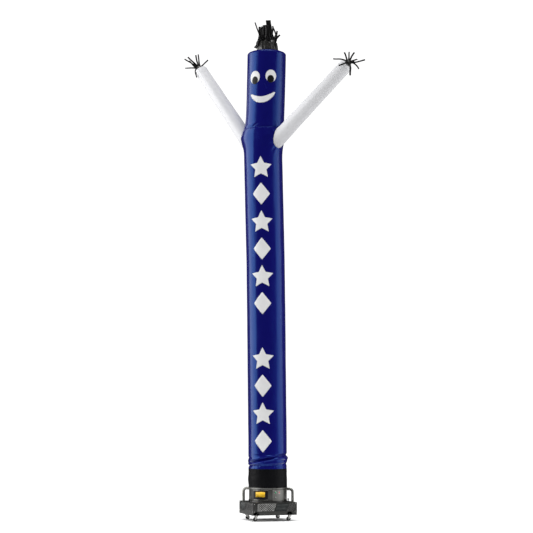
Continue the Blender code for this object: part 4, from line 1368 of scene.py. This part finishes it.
def wall_matrix(side, depth):
    """Takes right, up and out of a flat shape to a side wall's face, or to a depth behind it."""
    outward, right = around(SIDE_TURN[side]), around(SIDE_TURN[side] + 90)
    turn = Matrix((right, UP, outward)).transposed().to_4x4()
    return at(DRUM_AXIS + outward * (HOUSING_SIDE / 2 - depth)) @ turn


def clipped(bm, left, right, slant_left, slant_right, margin):
    """Cuts a flat sheet to a window's outline, drawn in by the margin."""
    low, high = WINDOW
    ends = ((left, slant_left, -1), (right, slant_right, 1))
    planes = [((0, low + margin, 0), (0, -1, 0)), ((0, high - margin, 0), (0, 1, 0))]
    for top, slanted, outward in ends:
        foot = top - (WINDOW_SLANT if slanted else 0)
        run = Vector((top - foot, high - low, 0)).normalized()
        square = Vector((run.y, -run.x, 0)) * outward
        planes.append((Vector((top, high, 0)) - square * margin, square))
    for point, direction in planes:
        bmesh.ops.bisect_plane(
            bm, geom=[*bm.verts, *bm.edges, *bm.faces], plane_co=point, plane_no=direction, clear_outer=True,
        )
    return bm


def flat_sheet(left, right, columns=1):
    low, high = WINDOW
    middle = at(((left + right) / 2, (low + high) / 2, 0))
    size = Matrix.Diagonal((right - left + SHEET_OVERLAP, high - low + 0.04, 1, 1))
    bm = bmesh.new()
    bmesh.ops.create_grid(bm, x_segments=columns, y_segments=1, size=0.5, matrix=middle @ size)
    return bm


def shade_backing(ends, drop):
    """A near-black sheet behind a window, a little wider than it, just inside the wall: painted shade that
    stands for the unlit inside of the housing.
    """
    bm = clipped(flat_sheet(*ends[:2]), *ends, -0.003)
    for face in bm.faces:
        face.material_index = 1
    return moved(bm, at((0, 0, -drop)))


def make_grille(name, side, *ends):
    """Expanded steel mesh in its window, in a flat frame, over a near-black sheet of painted shade."""
    left, right = ends[:2]
    reach = (right - left) / 2 + SHEET_OVERLAP
    cells = round(2 * reach / DIAMOND)
    middle = at(((left + right) / 2, sum(WINDOW) / 2, 0))
    bias = Matrix.Diagonal((1.05, 0.86, 1, 1)) @ Matrix.Rotation(math.pi / 4, 4, "Z")
    lattice = bmesh.new()
    bmesh.ops.create_grid(lattice, x_segments=cells, y_segments=cells, size=reach, matrix=middle @ bias)
    clipped(lattice, *ends, 0.001)
    cut = [face for face in lattice.faces if face.calc_area() > 0.00003]
    bmesh.ops.inset_individual(lattice, faces=cut, thickness=STRAND, use_even_offset=True)
    bmesh.ops.delete(lattice, geom=cut, context="FACES")
    for vert in lattice.verts:
        vert.co.z += 0.0006 * math.sin(vert.co.y * math.tau / (DIAMOND * 0.61))
    border = clipped(flat_sheet(left, right), *ends, 0.0006)
    pane = list(border.faces)
    bmesh.ops.inset_region(border, faces=pane, thickness=0.005, use_even_offset=True, use_boundary=True)
    bmesh.ops.delete(border, geom=pane, context="FACES")
    bm = facing_out(added(added(lattice, moved(border, at((0, 0, 0.0009)))), shade_backing(ends, 0.0024)))
    # the shaded grilles get the darker steel, painted shade
    finishes = (SHADED_MESH if name in SHADED_GRILLES else MESH_STEEL, INSIDE)
    moved(bm, wall_matrix(side, GRILLE_DEPTH))
    piece(bm, f"steel_{name}", finishes, (name,), wall=-WINDOW_WALL)


def make_louvre(name, side, *ends):
    """A black sheet with pressed ribs that lean with the window's slanted ends."""
    left, right = ends[:2]
    sheet = flat_sheet(left, right, round((right - left + SHEET_OVERLAP) / RIB) * 6)
    lean = WINDOW_SLANT / (WINDOW[1] - WINDOW[0])
    for vert in sheet.verts:
        vert.co.z = RIB_DEPTH * max(math.cos(vert.co.x * math.tau / RIB), -0.2)
        vert.co.x += (vert.co.y - sum(WINDOW) / 2) * lean
    # behind the ribs, a near-black sheet of painted shade
    bm = facing_out(added(clipped(sheet, *ends, 0.0006), shade_backing(ends, 0.0016)))
    moved(bm, wall_matrix(side, LOUVRE_DEPTH))
    piece(bm, f"ribbed_{name}", (RIBBED, INSIDE), (name,), wall=-WINDOW_WALL, smooth=60)


def make_housing():
    refined("housing", "grey_housing", COAT, soften=0.0009)
    refined("base_plate", "grey_base_plate", COAT)
    for name, facts in GRILLES.items():
        make_grille(name, *facts)
    for name, facts in LOUVRES.items():
        make_louvre(name, *facts)
    for side in SIDE_TURN:
        bolts = bmesh.new()
        for place in itertools.product(SCREWS_ALONG, SCREW_HEIGHTS, (0,)):
            added(bolts, moved(turned(screw_profile(0.0042), 20), at(place)))
        piece(moved(bolts, wall_matrix(side, -0.0002)), f"housing_screws_{side}", CHROME)


# ---- casters ----


def make_caster(corner):
    swivel = f"swivel_{corner}"
    refined(f"caster_plate_{corner}", f"zinc_plate_{corner}", CHROME)
    low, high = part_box(f"caster_nut_{corner}")
    middle = (Vector(low) + Vector(high)) / 2
    tall = high[2] - low[2]
    nut = (
        (0.0, 0.0), (NUT_RADIUS, 0.0), (NUT_RADIUS, tall - 0.006), (NUT_RADIUS - 0.0008, tall - 0.004),
        (NUT_RADIUS - 0.003, tall - 0.001), (0.0, tall),
    )
    seat = at((middle.x, middle.y, low[2]))
    lathed(nut, 32, seat, f"zinc_nut_{corner}", CHROME, (f"caster_nut_{corner}",))
    refined(f"caster_fork_{corner}", f"zinc_fork_{corner}", CHROME, swivel, soften=0.0007)
    low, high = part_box(f"caster_axle_{corner}")
    centre = (Vector(low) + Vector(high)) / 2
    lying = at(centre) @ Matrix.Rotation(math.pi / 2, 4, "X")
    half = (high[1] - low[1]) / 2
    pin = ((0.0, -half), (0.0030, -half), (0.0030, half - 0.0006), (0.0024, half), (0.0, half))
    lathed(pin, 24, lying, f"zinc_axle_{corner}", CHROME, (f"caster_axle_{corner}",), swivel)
    rim = centre.z - 0.0001
    half = WHEEL_WIDTH / 2
    hub = [
        (0.0036, -half * 0.85), (0.010, -half), (0.0165, -half), (0.0175, -half * 0.86),
        (0.0195, -half * 0.86), (0.0205, -half),
    ]
    tread = [
        (rim - 0.0028 * (1 - math.cos(turn)), half * math.sin(turn) * 0.98)
        for turn in map(math.radians, range(-75, 76, 15))
    ]
    wheel = hub + tread + [(radius, -height) for radius, height in reversed(hub)]
    node = f"caster_wheel_{corner}"
    lathed(wheel, 64, lying, f"rubber_wheel_{corner}", RUBBER, (node,), f"wheel_{corner}")


# ---- the whole object ----

tube = make_tube()
arms = {side: make_arm(side) for side in ARMS}
hands = {side: make_hand(side) for side in ARMS}
on_tube = [*make_face(), *make_marks(), make_hair()]
cuff = make_cuff()
make_drum()
make_labels()
make_controls()
make_deck_knobs()
for handle_side, handle_azimuth in HANDLES.items():
    make_handle(handle_side, handle_azimuth)
make_housing()
for caster_corner in CORNERS:
    make_caster(caster_corner)
